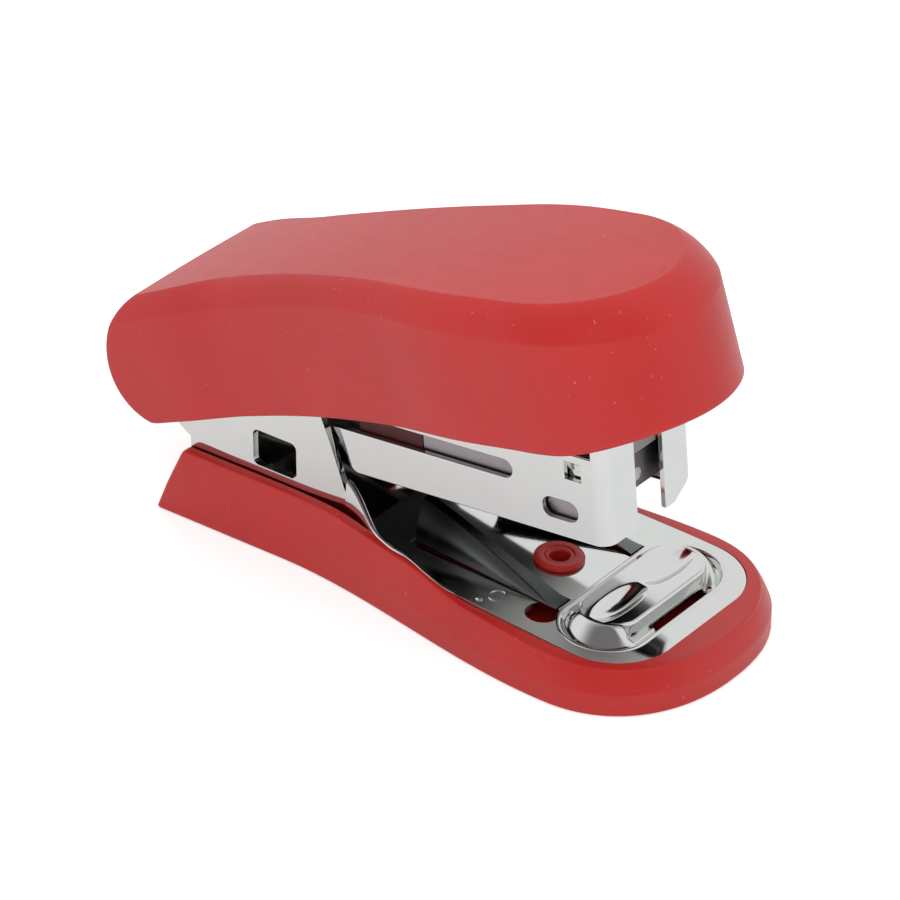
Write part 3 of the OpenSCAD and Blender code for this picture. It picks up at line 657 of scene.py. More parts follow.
@dataclass(frozen=True)
class Chrome(Finish):
    """Bright chromed sheet: nearly a mirror, a little wavy as pressed sheet is, with faint wiping marks."""

    wave: float = 0.02
    # Height in the magazine's frame below which the underside gets painted shade and a painted glow, or none.
    painted_shade_below: float | None = None
    dull_margin: float | None = None

    def underside_shade(self, along: Value, up: Value) -> Value:
        """Finds the underside that gets painted shade: what lies below a height in the magazine's frame.

        Args:
            along: distance along the stapler.
            up: height over the table.

        Returns:
            1 where the sheet is bare and 0 where it is polished.
        """
        tilt = math.radians(MAGAZINE.tilt)
        height = up * math.cos(tilt) - along * math.sin(tilt) - MAGAZINE.z * math.cos(tilt)
        return 1.0 - height.step(self.painted_shade_below - 0.06, self.painted_shade_below)

    def paint_underside_shade(self, graph: Graph, tint: Value, rough: Value) -> dict[object, object]:
        """Paints shade onto the underside, near black at the rear and lighter towards the nose, where a
        painted glow stands in for light bouncing up from the plate, and dulls the magazine's tail.

        Args:
            graph: the material's nodes.
            tint: the sheet's colour where no shade is painted.
            rough: the sheet's roughness where no shade is painted.

        Returns:
            A value or a link for each socket that changes.
        """
        along, _, up = graph.parts(graph.place())
        underside_shade = self.underside_shade(along, up)
        # Painted shade: near black at the rear, lighter towards the nose; the emission is a painted glow for
        # light bouncing up from the plate.
        underside_shade_colour = graph.blend(rgba((0.012, 0.014, 0.013)), rgba((0.42, 0.43, 0.42)), along.step(34.0, 50.0))
        painted_glow = along.step(34.0, 43.0) * underside_shade
        tail = 1.0 - along.step(15.0, 17.0)
        return {
            "Base Color": graph.blend(tint, underside_shade_colour, underside_shade), "Metallic": 1.0 - underside_shade * 0.8,
            "Emission Color": graph.blend(rgba((0.0, 0.0, 0.0)), rgba((0.34, 0.35, 0.345)), painted_glow),
            "Emission Strength": 1.0, "Roughness": (rough + underside_shade * 0.4 + tail * 0.4).clamped(),
        }

    def sockets(self, graph: Graph) -> dict[object, object]:
        """Wiping marks are a noise stretched along X; the waves bend the normal very slightly.

        Args:
            graph: the material's nodes.

        Returns:
            A value or a link for each socket.
        """
        wiped = graph.noise(1.2, 3.0, graph.place((0.25, 2.4, 2.4)))
        haze = graph.noise(0.35, 2.0)
        rough = self.roughness + (wiped - 0.5) * 0.05 + haze.step(0.5, 0.8) * 0.03
        tint = graph.blend(rgba(self.colour, 0.96), rgba(self.colour, 1.02), haze)
        waves = graph.bump(graph.noise(0.16, 1.0), 0.6, self.wave)
        if self.dull_margin is not None:
            along, across, _ = graph.parts(graph.place())
            near = 1.0 - across.step(self.dull_margin - 1.2, self.dull_margin)
            rough = rough + near * along.step(33.0, 46.0) * 0.42
        made = {"Base Color": tint, "Metallic": 1.0, "Roughness": rough.clamped(), "Normal": waves}
        if self.painted_shade_below is not None:
            made.update(self.paint_underside_shade(graph, tint, rough))
        return made


@dataclass(frozen=True)
class DrawnSteel(Finish):
    """Plain drawn or rolled steel: dull, with fine lines along the rolling."""

    lines: Triple = (0.3, 5.0, 5.0)
    # Distance along the stapler behind which painted shade darkens the colour, or none.
    painted_shade_to: float | None = None

    def sockets(self, graph: Graph) -> dict[object, object]:
        """Lines are a noise stretched along the rolling; they change colour, gloss and height.

        Args:
            graph: the material's nodes.

        Returns:
            A value or a link for each socket.
        """
        lines = graph.noise(2.2, 3.0, graph.place(self.lines))
        stain = graph.noise(0.5, 3.0)
        share = (lines * 0.6 + stain * 0.4).clamped()
        tint = graph.blend(rgba(self.colour, 0.82), rgba(self.colour, 1.12), share)
        if self.painted_shade_to is not None:
            # Painted shade: the colour darkens towards the arm's tip, where it lies under the magazine.
            along = graph.parts(graph.place())[0]
            tint = graph.blend(rgba(self.colour, 0.12), tint, along.step(self.painted_shade_to - 6.0, self.painted_shade_to))
        rough = self.roughness + (lines - 0.5) * 0.16
        return {
            "Base Color": tint, "Metallic": 1.0, "Roughness": rough.clamped(),
            "Normal": graph.bump(lines, 0.3, 0.02),
        }


RED = MouldedPlastic("red_moulding", Slot.RED, (0.50, 0.018, 0.016), 0.38)
TRAY_RED = MouldedPlastic("red_tray_moulding", Slot.RED, (0.48, 0.016, 0.013), 0.34)
EYELET_RED = MouldedPlastic("red_eyelet_moulding", Slot.RED, (0.47, 0.016, 0.014), 0.34)
PUSHER_RED = MouldedPlastic("dark_red_moulding", Slot.DARK_RED, (0.085, 0.004, 0.006), 0.5)
CHROME = Chrome("bright_chrome", Slot.CHROME, (0.69, 0.705, 0.69), 0.07)
PLATE_CHROME = Chrome("plate_chrome", Slot.CHROME, (0.69, 0.705, 0.69), 0.07, dull_margin=-7.4)
ANVIL_CHROME = Chrome("anvil_chrome", Slot.CHROME, (0.69, 0.70, 0.69), 0.11, wave=0.008)
# The magazine's underside gets painted shade and a painted glow.
MAGAZINE_CHROME = Chrome("magazine_chrome", Slot.CHROME, (0.70, 0.72, 0.71), 0.07, painted_shade_below=-8.32)
SOFT_CHROME = Chrome("satin_chrome", Slot.CHROME, (0.66, 0.665, 0.655), 0.20, wave=0.01)
DRIVER_STEEL = DrawnSteel("driver_steel", Slot.STEEL, (0.26, 0.235, 0.22), 0.38, (5.0, 5.0, 0.3))
RAIL_STEEL = DrawnSteel("rail_steel", Slot.STEEL, (0.16, 0.155, 0.15), 0.42)
PIN_STEEL = DrawnSteel("pin_steel", Slot.STEEL, (0.48, 0.48, 0.49), 0.28, (5.0, 0.3, 5.0))
ARM_STEEL = DrawnSteel("arm_steel", Slot.CHROME, (0.15, 0.165, 0.16), 0.24, (0.25, 3.5, 3.5), painted_shade_to=38.0)
SPRING_STEEL = DrawnSteel("spring_steel", Slot.STEEL, (0.42, 0.42, 0.43), 0.30)
WIRE = DrawnSteel("staple_wire", Slot.WIRE, (0.36, 0.325, 0.345), 0.36, (6.0, 1.0, 0.4))


# ---- Handle ----

@dataclass(frozen=True)
class CoverSizes:
    """Sizes of the red handle cover, in the handle's frame."""

    waist_w: float = 20.6
    nose_w: float = 26.65
    tip: float = 60.9
    front: float = 47.0
    flare: float = 12.1
    bulge: float = 0.4
    bulge_u: float = 30.0
    heel_u: float = -0.96
    heel_v: float = 0.08
    heel_r: float = 7.4
    heel_front: float = -1.4
    heel_flare: float = 0.65
    waist_u: float = 9.0
    crown: float = 9.1
    crown_u: float = 24.5
    arch_r: float = 176.0
    skirt: float = 5.45
    skirt_lift: float = 2.05
    skirt_lift_u: float = 50.0
    skirt_lift_l: float = 12.7
    wall: float = 1.5
    shoulder_w: float = 2.25
    shoulder_heel_w: float = 1.4
    shoulder_nose: float = 0.55
    shoulder_nose_u: float = 44.0
    shoulder_h: float = 2.45
    shoulder_growth: float = 0.75
    shoulder_from: float = 18.0
    shoulder_growth_u: float = 26.0
    shoulder_growth_l: float = 20.0
    shoulder_bevel: float = 0.35
    skirt_u: float = 24.0
    skirt_arch: tuple[float, float] = (580.0, 337.0)
    edge_r: float = 0.3
    crease: float = 0.16
    crown_rise: float = 0.10
    cut_u: float = 0.5
    magazine_gap: tuple[float, float] = (9.0, -4.4)
    ear_gap: tuple[float, float, float] = (7.2, 8.6, 1.5)
    rib_u: tuple[float, float] = (12.0, 40.0)
    rib_half: float = 6.9
    rib_foot: float = 5.0
    rib_l: float = 1.2


class Cover:
    """The moulded cover: a top panel, a rounded shoulder, straight walls and a round heel."""

    def __init__(self, sizes: CoverSizes) -> None:
        """Keeps the sizes."""
        self.s = sizes
        self.outline = Outline(sizes.front)

    def half(self, u: np.ndarray) -> np.ndarray:
        """Half the cover's width: it flares to the nose, bulges ahead of it, and flares to the heel.

        Args:
            u: distances along the handle.

        Returns:
            Half the width at each of them.
        """
        s = self.s
        wide = mix(s.waist_w, s.nose_w, past(u, s.flare, s.front - s.flare)) / 2.0
        x = np.clip((u - s.bulge_u) / (s.front - s.bulge_u), 0.0, 1.0)
        heel = s.heel_flare * smooth((s.waist_u - u) / s.waist_u)
        return wide + heel + s.bulge * (4.0 * x * (1.0 - x)) ** 2

    def panel(self, u: np.ndarray) -> np.ndarray:
        """Height of the top panel: one long arch."""
        return self.s.crown - (u - self.s.crown_u) ** 2 / (2.0 * self.s.arch_r)

    def shoulder(self, u: np.ndarray) -> np.ndarray:
        """Height at which the shoulder leaves the side wall."""
        s = self.s
        growth = past(u, s.shoulder_growth_u, s.shoulder_growth_l)
        return self.panel(u) - s.shoulder_h - s.shoulder_growth * growth

    def low(self, u: np.ndarray) -> np.ndarray:
        """Height of the side walls' lower edge: a shallow arch that levels out at the nose.

        Args:
            u: distances along the handle.

        Returns:
            The height at each of them.
        """
        s = self.s
        arch = (u - s.skirt_u) ** 2 / np.where(u < s.skirt_u, *s.skirt_arch)
        return s.skirt_lift * past(u, s.skirt_lift_u, s.skirt_lift_l) - s.skirt - arch

    def reach(self, u: np.ndarray) -> np.ndarray:
        """Width of the shoulder, which is less where the panel spreads out to the heel and more at the tip.

        Args:
            u: distances along the handle.

        Returns:
            The width at each of them.
        """
        s = self.s
        share = smooth((s.waist_u - u) / (s.waist_u - s.heel_front))
        nose = s.shoulder_nose * past(u, s.shoulder_nose_u, s.tip - s.shoulder_nose_u)
        return mix(s.shoulder_w, s.shoulder_heel_w, share) + nose

    def turn(self, share: float) -> tuple[float, float]:
        """How far the shoulder has turned: a quarter turn, flattened towards a bevel, less its first degrees.

        Args:
            share: share of the turn, from the wall to the panel.

        Returns:
            Shares of the shoulder's width and height.
        """
        bevel = self.s.shoulder_bevel
        start = math.radians(self.s.shoulder_from)
        a = start + (math.pi / 2.0 - start) * share

        def bend(angle: float) -> float:
            """Share of the height at an angle."""
            return (1.0 - bevel) * math.sin(angle) + bevel * (1.0 - math.cos(angle))

        return 1.0 - math.cos(a) / math.cos(start), (bend(a) - bend(start)) / (1.0 - bend(start))

    def ring(self, inset: Profile, height: Profile, heel_r: float) -> np.ndarray:
        """One ring of the cover.

        Args:
            inset: how far it lies inside the outline at a distance along.
            height: its height at a distance along.
            heel_r: the radius of the round heel that it starts on.

        Returns:
            Points along, across and up, one row each.
        """
        s = self.s
        rise = float(height(np.array([s.heel_front]))[0]) - s.heel_v
        heel = s.heel_u - math.sqrt(max(0.0, heel_r**2 - rise**2))
        tip = s.tip - float(inset(np.array([s.tip]))[0])
        return self.outline.ring(heel, tip, lambda u: self.half(u) - inset(u), height)

    def wall_ring(self, inset: float, share: float, lift: float = 0.0) -> np.ndarray:
        """Ring on the side wall.

        Args:
            inset: how far it lies inside the outline.
            share: share of the wall's height.
            lift: a length by which it is lifted, which fades to the top.

        Returns:
            The ring's points.
        """
        def height(u: np.ndarray) -> np.ndarray:
            """Blend of the wall's lower and upper edge."""
            return mix(self.low(u) + lift, self.shoulder(u), share)

        return self.ring(level(inset), height, self.s.heel_r - inset)

    def shoulder_ring(self, share: float, extra: float = 0.0) -> np.ndarray:
        """Ring on the shoulder.

        Args:
            share: share of the shoulder's turn.
            extra: a further inset, on the panel.

        Returns:
            The ring's points.
        """
        wide, high = self.turn(share)
        return self.ring(
            lambda u: self.reach(u) * wide + extra,
            lambda u: mix(self.shoulder(u), self.panel(u), high), self.s.heel_r)

    def inside(self) -> list[np.ndarray]:
        """Rings of the inner face.

        Returns:
            The rings, from the roof down.
        """
        s = self.s
        r = s.heel_r - s.wall
        roof = [
            self.ring(lambda u: self.reach(u) + 0.4, lambda u: self.panel(u) - s.wall, r),
            self.ring(level(s.wall + 0.6), lambda u: self.shoulder(u) + 0.4, r),
        ]
        return roof + [self.wall_ring(s.wall, t, s.edge_r) for t in np.linspace(0.88, 0.0, 16)]

    def rings(self) -> list[np.ndarray]:
        """Every ring: down the inner face, round the lower edge, up the wall and over the shoulder.

        Returns:
            The rings, in order over the surface.
        """
        s = self.s
        rounding = []
        for a in np.radians(np.linspace(0.0, 90.0, 4))[1:]:
            inset = s.wall - s.edge_r * (1.0 - math.cos(a))
            rounding.append(self.wall_ring(inset, 0.0, s.edge_r * (1.0 - math.sin(a))))
        for a in np.radians(np.linspace(90.0, 0.0, 4)):
            inset = s.edge_r * (1.0 - math.cos(a))
            rounding.append(self.wall_ring(inset, 0.0, s.edge_r * (1.0 - math.sin(a))))
        wall = [self.wall_ring(0.0, t, s.edge_r) for t in np.linspace(0.0, 0.985, 26)[1:]]
        bend = [self.shoulder_ring(t) for t in np.linspace(0.0, 0.975, 13)]
        top = [self.shoulder_ring(1.0, extra) for extra in (0.02, s.crease, 0.8)]
        return self.inside() + rounding + wall + bend + top

    def build(self) -> None:
        """Lofts the cover and cuts the heel clear of the ears and the magazine."""
        s = self.s
        solid = closed_rings(HANDLE, self.outline, self.rings(), s.crown_rise)
        back = -2.0 * s.heel_r
        wide, roof = s.magazine_gap
        cutters = [block(HANDLE, (back, -wide, back), (s.cut_u, wide, roof))]
        for side in (-1.0, 1.0):
            near, far = sorted((side * s.ear_gap[0], side * s.ear_gap[1]))
            cutters.append(block(HANDLE, (back, near, back), (s.cut_u, far, s.ear_gap[2])))
        piece = dress(carved(solid, cutters), "handle_cover_shell", Body.HANDLE, RED, 28.0)
        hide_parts("handle_cover")
        self.ribs()

    def ribs(self) -> None:
        """Two cross ribs under the top panel, which stand on the frame."""
        s = self.s
        foot, end = s.rib_foot, s.rib_l
        skin = Skin()
        for u in s.rib_u:
            top = float(self.panel(np.array([u]))[0]) - s.wall + 0.1
            across = np.linspace(-s.rib_half, s.rib_half, 12)
            loop = np.array([
                [u, foot + 0.02], [u + 0.2, foot], [u + end - 0.2, foot], [u + end, foot + 0.02],
                [u + end + 0.1, top], [u - 0.1, top]])
            grid = np.stack([np.column_stack([loop[:, 0], np.full(6, y), loop[:, 1]]) for y in across])
            skin.patch(placed(HANDLE, grid), wrap=True)
            for cap in (0, -1):
                skin.patch(placed(HANDLE, grid[cap][[0, 1, 2, 5, 4, 3]].reshape(2, 3, 3)))
        skin.build("cover_ribs", Body.HANDLE, RED, 30.0)


# ---- Base ----

@dataclass(frozen=True)
class TraySizes:
    """Sizes of the red base tray."""

    heel_w: float = 20.3
    nose_w: float = 29.8
    nose_power: float = 2.23
    tip: float = 63.1
    front: float = 50.5
    flare: float = 13.9
    heel: float = 2.6
    heel_lean: float = 0.43
    heel_turn_h: float = 7.2
    heel_turn: float = 0.275
    ear_step: float = 0.4
    ear_step_l: float = 8.0
    level_x: float = 20.0
    side_step: float = 1.3
    side_step_x: float = 31.0
    side_step_l: float = 9.0
    wall_t: float = 1.1
    wall_x: tuple[float, float] = (25.0, 35.0)
    rim_h: float = 4.85
    rim_low_x: float = 54.0
    rim_fall: float = 0.6
    crease_h: float = 2.25
    crease_share: float = 0.45
    cove: float = 1.0
    cove_x: float = 30.0
    cove_l: float = 14.0
    side_cove: float = 0.55
    floor: float = 1.2
    ledge: float = 1.6
    fit: float = 0.08
    foot_r: float = 0.35
    rim_r: float = 0.32
    plate_t: float = 0.7
    clear: float = 25.0


@dataclass(frozen=True)
class PlateSizes:
    """Outline of the steel plate, from the anvil's middle."""

    ear_w: float = 15.8
    nose_w: float = 24.4
    nose_l: float = 7.2
    corner_r: float = 6.6
    heel: float = -50.8
    neck: float = -29.1
    neck_l: float = 3.0
    full: float = -15.7
    late_w: float = 0.9
    widest: float = 0.6


@dataclass(frozen=True)
class FlangeSizes:
    """Sizes of the flange that runs from each ear's foot into the plate's edge."""

    start: float = 20.9
    end: float = 38.0
    ear_h: float = 3.5
    ear_x: float = 20.4
    ear_l: float = 6.0
    rib_h: float = 0.85
    rib_x: float = 29.5
    rib_l: float = 9.0
    thick: float = 0.8
    thinner: float = 0.4
    thin_x: float = 22.0
    thin_l: float = 6.0
    lip_y: float = 8.3
    spread: float = 2.7
    spread_x: float = 19.8
    spread_l: float = 11.2
    edge_x: float = 28.0
    edge_l: float = 5.0
    edge_gap: float = 0.04
    foot: float = -0.3


@dataclass(frozen=True)
class MarkSizes:
    """Places and sizes of the small punched marks in the plate's near margin."""

    c_x: float = 40.8
    c_y: float = -9.2
    c_r: float = 0.85
    c_stretch: float = 1.1
    tube_r: float = 0.13
    nib_x: float = 39.75
    nib_y: float = -10.9
    nib: tuple[float, float, float] = (0.42, 0.3, 0.22)


class PlateOutline(Outline):
    """The plate's outline: narrow between the ears, flared to the nose, which is flat with round corners."""

    def near(self, heel: float, tip: float, half: Profile) -> tuple[np.ndarray, np.ndarray]:
        """The near side's points: the side, then a quarter circle, then the flat front.

        Args:
            heel: where the outline starts.
            tip: the front edge.
            half: half the width at a distance along.

        Returns:
            Distances along and across.
        """
        radius = float(half(np.array([tip]))[0])
        side_u = np.linspace(heel, self.front, self.corner_steps + self.side_steps + 1)
        swing = np.radians(np.linspace(0.0, 90.0, self.nose_steps))[1:]
        reach = tip - self.front
        middle = radius - reach
        nose_u = np.append(self.front + reach * np.sin(swing), tip)
        nose_y = np.append(middle + reach * np.cos(swing), 0.0)
        return np.concatenate([side_u, nose_u]), np.concatenate([half(side_u), nose_y])


class Plate:
    """The steel plate, its ears, and the flange that runs from each ear into the plate's edge."""

    def __init__(self, sizes: PlateSizes) -> None:
        """Keeps the sizes."""
        self.s = sizes
        self.outline = PlateOutline(sizes.nose_l - sizes.corner_r, nose_steps=24)

    def half(self, x: np.ndarray) -> np.ndarray:
        """Half the plate's width: it flares ahead of the ears, then widens slowly to the nose.

        Args:
            x: distances from the anvil's middle.

        Returns:
            Half the width at each of them.
        """
        s = self.s
        flare = smooth((x - s.neck + s.neck_l) / (s.full - s.neck + s.neck_l))
        late = s.late_w / 2.0 * smooth((x - s.full) / -s.full)
        return mix(s.ear_w, s.nose_w - s.late_w, flare) / 2.0 + late

    def ring(self, grow: float, heel: float, height: Profile) -> np.ndarray:
        """Ring round the plate.

        Args:
            grow: how far it lies outside the plate.
            heel: where it starts.
            height: its height at a distance along.

        Returns:
            Points along, across and up, one row each.
        """
        s = self.s
        return self.outline.ring(
            heel, s.nose_l + grow, lambda x: self.half(np.minimum(x, s.widest)) + grow, height)

    def prism(self, grow: float, heel: float, bottom: Profile, top: float) -> Skin:
        """Closed prism round the plate's outline, for cutting.

        Args:
            grow: how far it lies outside the plate.
            heel: where it starts.
            bottom: height of its underside at a distance along.
            top: height of its top.

        Returns:
            The skin.
        """
        rings = [self.ring(grow, heel, bottom), self.ring(grow, heel, level(top))]
        return closed_rings(PLATE, self.outline, rings)

    def build(self) -> None:
        """Rounds the plate's edges and adds the flange and the small marks."""
        rounded_copy("base_plate", Body.BASE, PLATE_CHROME, 0.14, 3)
        self.flanges(FlangeSizes())
        self.marks(MarkSizes())

    def flanges(self, f: FlangeSizes) -> None:
        """A strip of sheet on each edge that starts as high as the ear's foot and runs out by the flare.

        The strip's section is a rounded rib: a half turn over a width that shrinks with its height.

        Args:
            f: the strip's sizes, with its places counted from the pivot.
        """
        skin = Skin()
        at = np.linspace(f.start, f.end, 70)
        x = at - ANVIL_X
        ear = f.ear_h * (1.0 - past(at, f.ear_x, f.ear_l))
        high = ear + f.rib_h * (1.0 - past(at, f.rib_x, f.rib_l)) + 0.02
        thick = f.thick - f.thinner * past(at, f.thin_x, f.thin_l)
        lip = f.lip_y + f.spread * past(at, f.spread_x, f.spread_l)
        edge = mix(lip, self.half(x) + f.edge_gap, past(at, f.edge_x, f.edge_l))
        turn = np.radians(np.linspace(0.0, 180.0, 9))[None, :]
        lift = np.clip(high - thick / 2.0, 0.0, None)[:, None]
        crest = lift + np.sin(turn) * np.minimum(thick, high)[:, None] / 2.0
        inward = edge[:, None] - thick[:, None] * (1.0 - np.cos(turn)) / 2.0
        foot = np.full((len(x), 1), f.foot)
        up = np.concatenate([foot, crest, foot], axis=1)
        across = np.concatenate([inward[:, :1], inward, inward[:, -1:]], axis=1)
        for side in (-1.0, 1.0):
            grid = PLATE.put(np.repeat(x[:, None], up.shape[1], axis=1), side * across, up)
            skin.patch(grid)
            skin.patch(grid[0][[0, 1, 2, 3, 4, 5, 10, 9, 8, 7, 6, 5]].reshape(2, 6, 3))
        skin.build("plate_edge_flanges", Body.BASE, CHROME, 40.0)

    def marks(self, m: MarkSizes) -> None:
        """A small punched C beside the arm slot, as a bent tube, and a nib at the edge, as half an egg.

        Args:
            m: the marks' sizes.
        """
        skin = Skin()
        turn = np.radians(np.linspace(55.0, 305.0, 26))[:, None]
        tube = np.radians(np.linspace(0.0, 360.0, 9))[None, :]
        reach = m.c_r + m.tube_r * np.cos(tube)
        skin.patch(PLATE.put(
            m.c_x - ANVIL_X + reach * np.cos(turn), m.c_y + reach * np.sin(turn) * m.c_stretch,
            m.tube_r * np.sin(tube)))
        around = np.radians(np.linspace(0.0, 360.0, 17))[None, :]
        rise = np.radians(np.linspace(0.0, 90.0, 6))[:, None]
        long, wide, high = m.nib
        skin.patch(PLATE.put(
            m.nib_x - ANVIL_X + long * np.cos(rise) * np.cos(around),
            m.nib_y + wide * np.cos(rise) * np.sin(around), high * np.sin(rise)))
        skin.build("plate_marks", Body.BASE, CHROME, 60.0)


class Tray:
    """The moulded tray that holds the plate."""

    def __init__(self, sizes: TraySizes, plate: Plate) -> None:
        """Keeps the sizes and the plate that it is cut for."""
        self.s = sizes
        self.plate = plate
        self.outline = Outline(sizes.front, sizes.nose_power)

    def half(self, x: np.ndarray) -> np.ndarray:
        """Half the tray's width: it flares to the nose."""
        s = self.s
        return mix(s.heel_w, s.nose_w, past(x, s.flare, s.front - s.flare)) / 2.0

    def cove_share(self, x: np.ndarray) -> np.ndarray:
        """Share of the nose's cove: none along the side walls, all of it round the nose."""
        return past(x, self.s.cove_x, self.s.cove_l)

    def rim(self, x: np.ndarray) -> np.ndarray:
        """Height of the rim: highest beside the ears, a step lower beside the flange, then down to the plate.

        Args:
            x: distances from the pivot.

        Returns:
            The height at each of them.
        """
        s = self.s
        slope = math.tan(math.radians(PLATE_FALL))
        nose = s.rim_h + (s.rim_low_x - np.maximum(x, s.level_x)) * slope * s.rim_fall
        ears = s.ear_step * (1.0 - past(x, s.level_x, s.ear_step_l))
        return nose + ears + s.side_step * (1.0 - past(x, s.side_step_x, s.side_step_l))

    def crease(self, x: np.ndarray) -> np.ndarray:
        """Height of the crease where the cove starts."""
        return mix(self.rim(x) * self.s.crease_share, self.s.crease_h, self.cove_share(x))

    def heel(self, z: float) -> float:
        """The heel leans forwards, and more so near its top."""
        s = self.s
        return -s.heel + s.heel_lean * z + s.heel_turn * max(0.0, z - s.heel_turn_h) ** 1.6

    def step_in(self, x: np.ndarray) -> np.ndarray:
        """How far the rim has stepped in from the crease."""
        return mix(self.s.side_cove, self.s.cove, self.cove_share(x))

    def ring(self, share: float, height: Profile, inset: float = 0.0) -> np.ndarray:
        """One ring of the tray.

        Args:
            share: share of the cove's width by which it has stepped in.
            height: its height at a distance along.
            inset: a further inset.

        Returns:
            Points along, across and up, one row each.
        """
        s = self.s

        def cove(x: np.ndarray) -> np.ndarray:
            """How far the surface has stepped in."""
            return self.step_in(x) * share + inset

        heel = self.heel(float(height(np.array([0.0]))[0])) + inset
        tip = s.tip - float(cove(np.array([s.front]))[0])
        return self.outline.ring(heel, tip, lambda x: self.half(x) - cove(x), height)

    def rings(self) -> list[np.ndarray]:
        """Every ring, up over the crease and the cove to the rim's rounded top.

        Returns:
            The rings, from the foot.
        """
        s = self.s
        turns = np.radians(np.linspace(0.0, 90.0, 5))
        rings = []
        for a in turns[:0:-1]:
            foot = level(s.foot_r * (1.0 - math.sin(a)))
            rings.append(self.ring(0.0, foot, s.foot_r * (1.0 - math.cos(a))))
        for t in np.linspace(0.0, 1.0, 9):
            rings.append(self.ring(0.0, lambda x, t=t: mix(s.foot_r, self.crease(x), t)))
        rings.insert(-1, self.ring(0.0, lambda x: self.crease(x) - 0.08))
        for share in np.linspace(0.0, 1.0, 10)[1:]:
            high = share + 0.25 * share * (1.0 - share) * (1.0 + share)
            rings.append(self.ring(
                share, lambda x, h=high: mix(self.crease(x) + 0.02, self.rim(x) - s.rim_r, h)))
        for a in turns[1:]:
            drop = s.rim_r * (1.0 - math.sin(a))
            rings.append(self.ring(1.0, lambda x, d=drop: self.rim(x) - d, s.rim_r * (1.0 - math.cos(a))))
        return rings

    def cutters(self) -> list[Skin]:
        """What the tray is carved by: the plate's pocket, the room between the walls, and the hollow below.

        Returns:
            Closed skins.
        """
        s, plate = self.s, self.plate
        pocket = plate.prism(s.fit, -ANVIL_X - 4.0 * s.heel, level(-s.plate_t), s.clear)
        x = np.linspace(-3.0 * s.heel, s.wall_x[1], 60)
        thin = self.half(x) - self.step_in(x) - s.wall_t
        full = plate.half(x - ANVIL_X) + s.fit - 0.3
        share = past(x, s.wall_x[0], s.wall_x[1] - s.wall_x[0])
        wide = channel(PLATE, x - ANVIL_X, mix(thin, full, share), -s.plate_t - 0.001, s.clear)
        tilt = math.radians(PLATE_FALL)

        def floor(x: np.ndarray) -> np.ndarray:
            """Height of the tray's level floor in the plate's frame."""
            return (s.floor - PLATE_Z + x * math.sin(tilt)) / math.cos(tilt)

        hollow = plate.prism(-s.ledge, plate.s.heel + s.ledge + 1.5, floor, 1.0)
        return [pocket, wide, hollow]

    def build(self) -> None:
        """Lofts the tray and cuts the plate's pocket and the hollow under it."""
        solid = closed_rings(TABLE, self.outline, self.rings())
        piece = dress(carved(solid, self.cutters()), "base_tray_shell", Body.BASE, TRAY_RED, 32.0)
        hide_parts("base_tray")
        self.boss()

    def boss(self) -> None:
        """The round boss that the eyelet is pressed into."""
        turn = np.radians(np.linspace(0.0, 360.0, 49))[:-1]
        profile = np.array([(1.0, 4.2), (1.0, 1.0), (3.0, 1.0), (3.0, 4.2), (2.8, 4.35), (1.8, 4.35)])
        radius, height = profile[:, :1], profile[:, 1:]
        grid = TABLE.put(EYELET_X + radius * np.cos(turn), radius * np.sin(turn), height)
        Skin().patch(grid, wrap=True).build("eyelet_boss", Body.BASE, TRAY_RED, 35.0)


@dataclass(frozen=True)
class AnvilSizes:
    """Sizes of the anvil pressed into the plate."""

    recess_w: float = 21.0
    recess_l: float = 9.0
    depth: float = 0.8
    bar_w: float = 17.0
    bar_l: float = 6.4
    rise: float = 1.6
    lip_drop: float = 0.12
    dish: float = 0.72
    wall: float = 0.33
    edge: float = 0.17
    edge_h: float = 0.32
    ramp_share: float = 0.22
    ramp_drop: float = 0.45
    end_y: float = 5.6
    end_l: float = 2.4
    groove_y: float = 4.2
    groove_depth: float = 0.9
    groove_soft: float = 0.05
    ring_r: float = 8.075
    tube_r: float = 1.7
    slot_x: tuple[float, float] = (2.9, 4.05)
    slot_y: tuple[float, float] = (-2.75, 5.6)
    slot_depth: float = 0.55
    sheet: float = 0.25


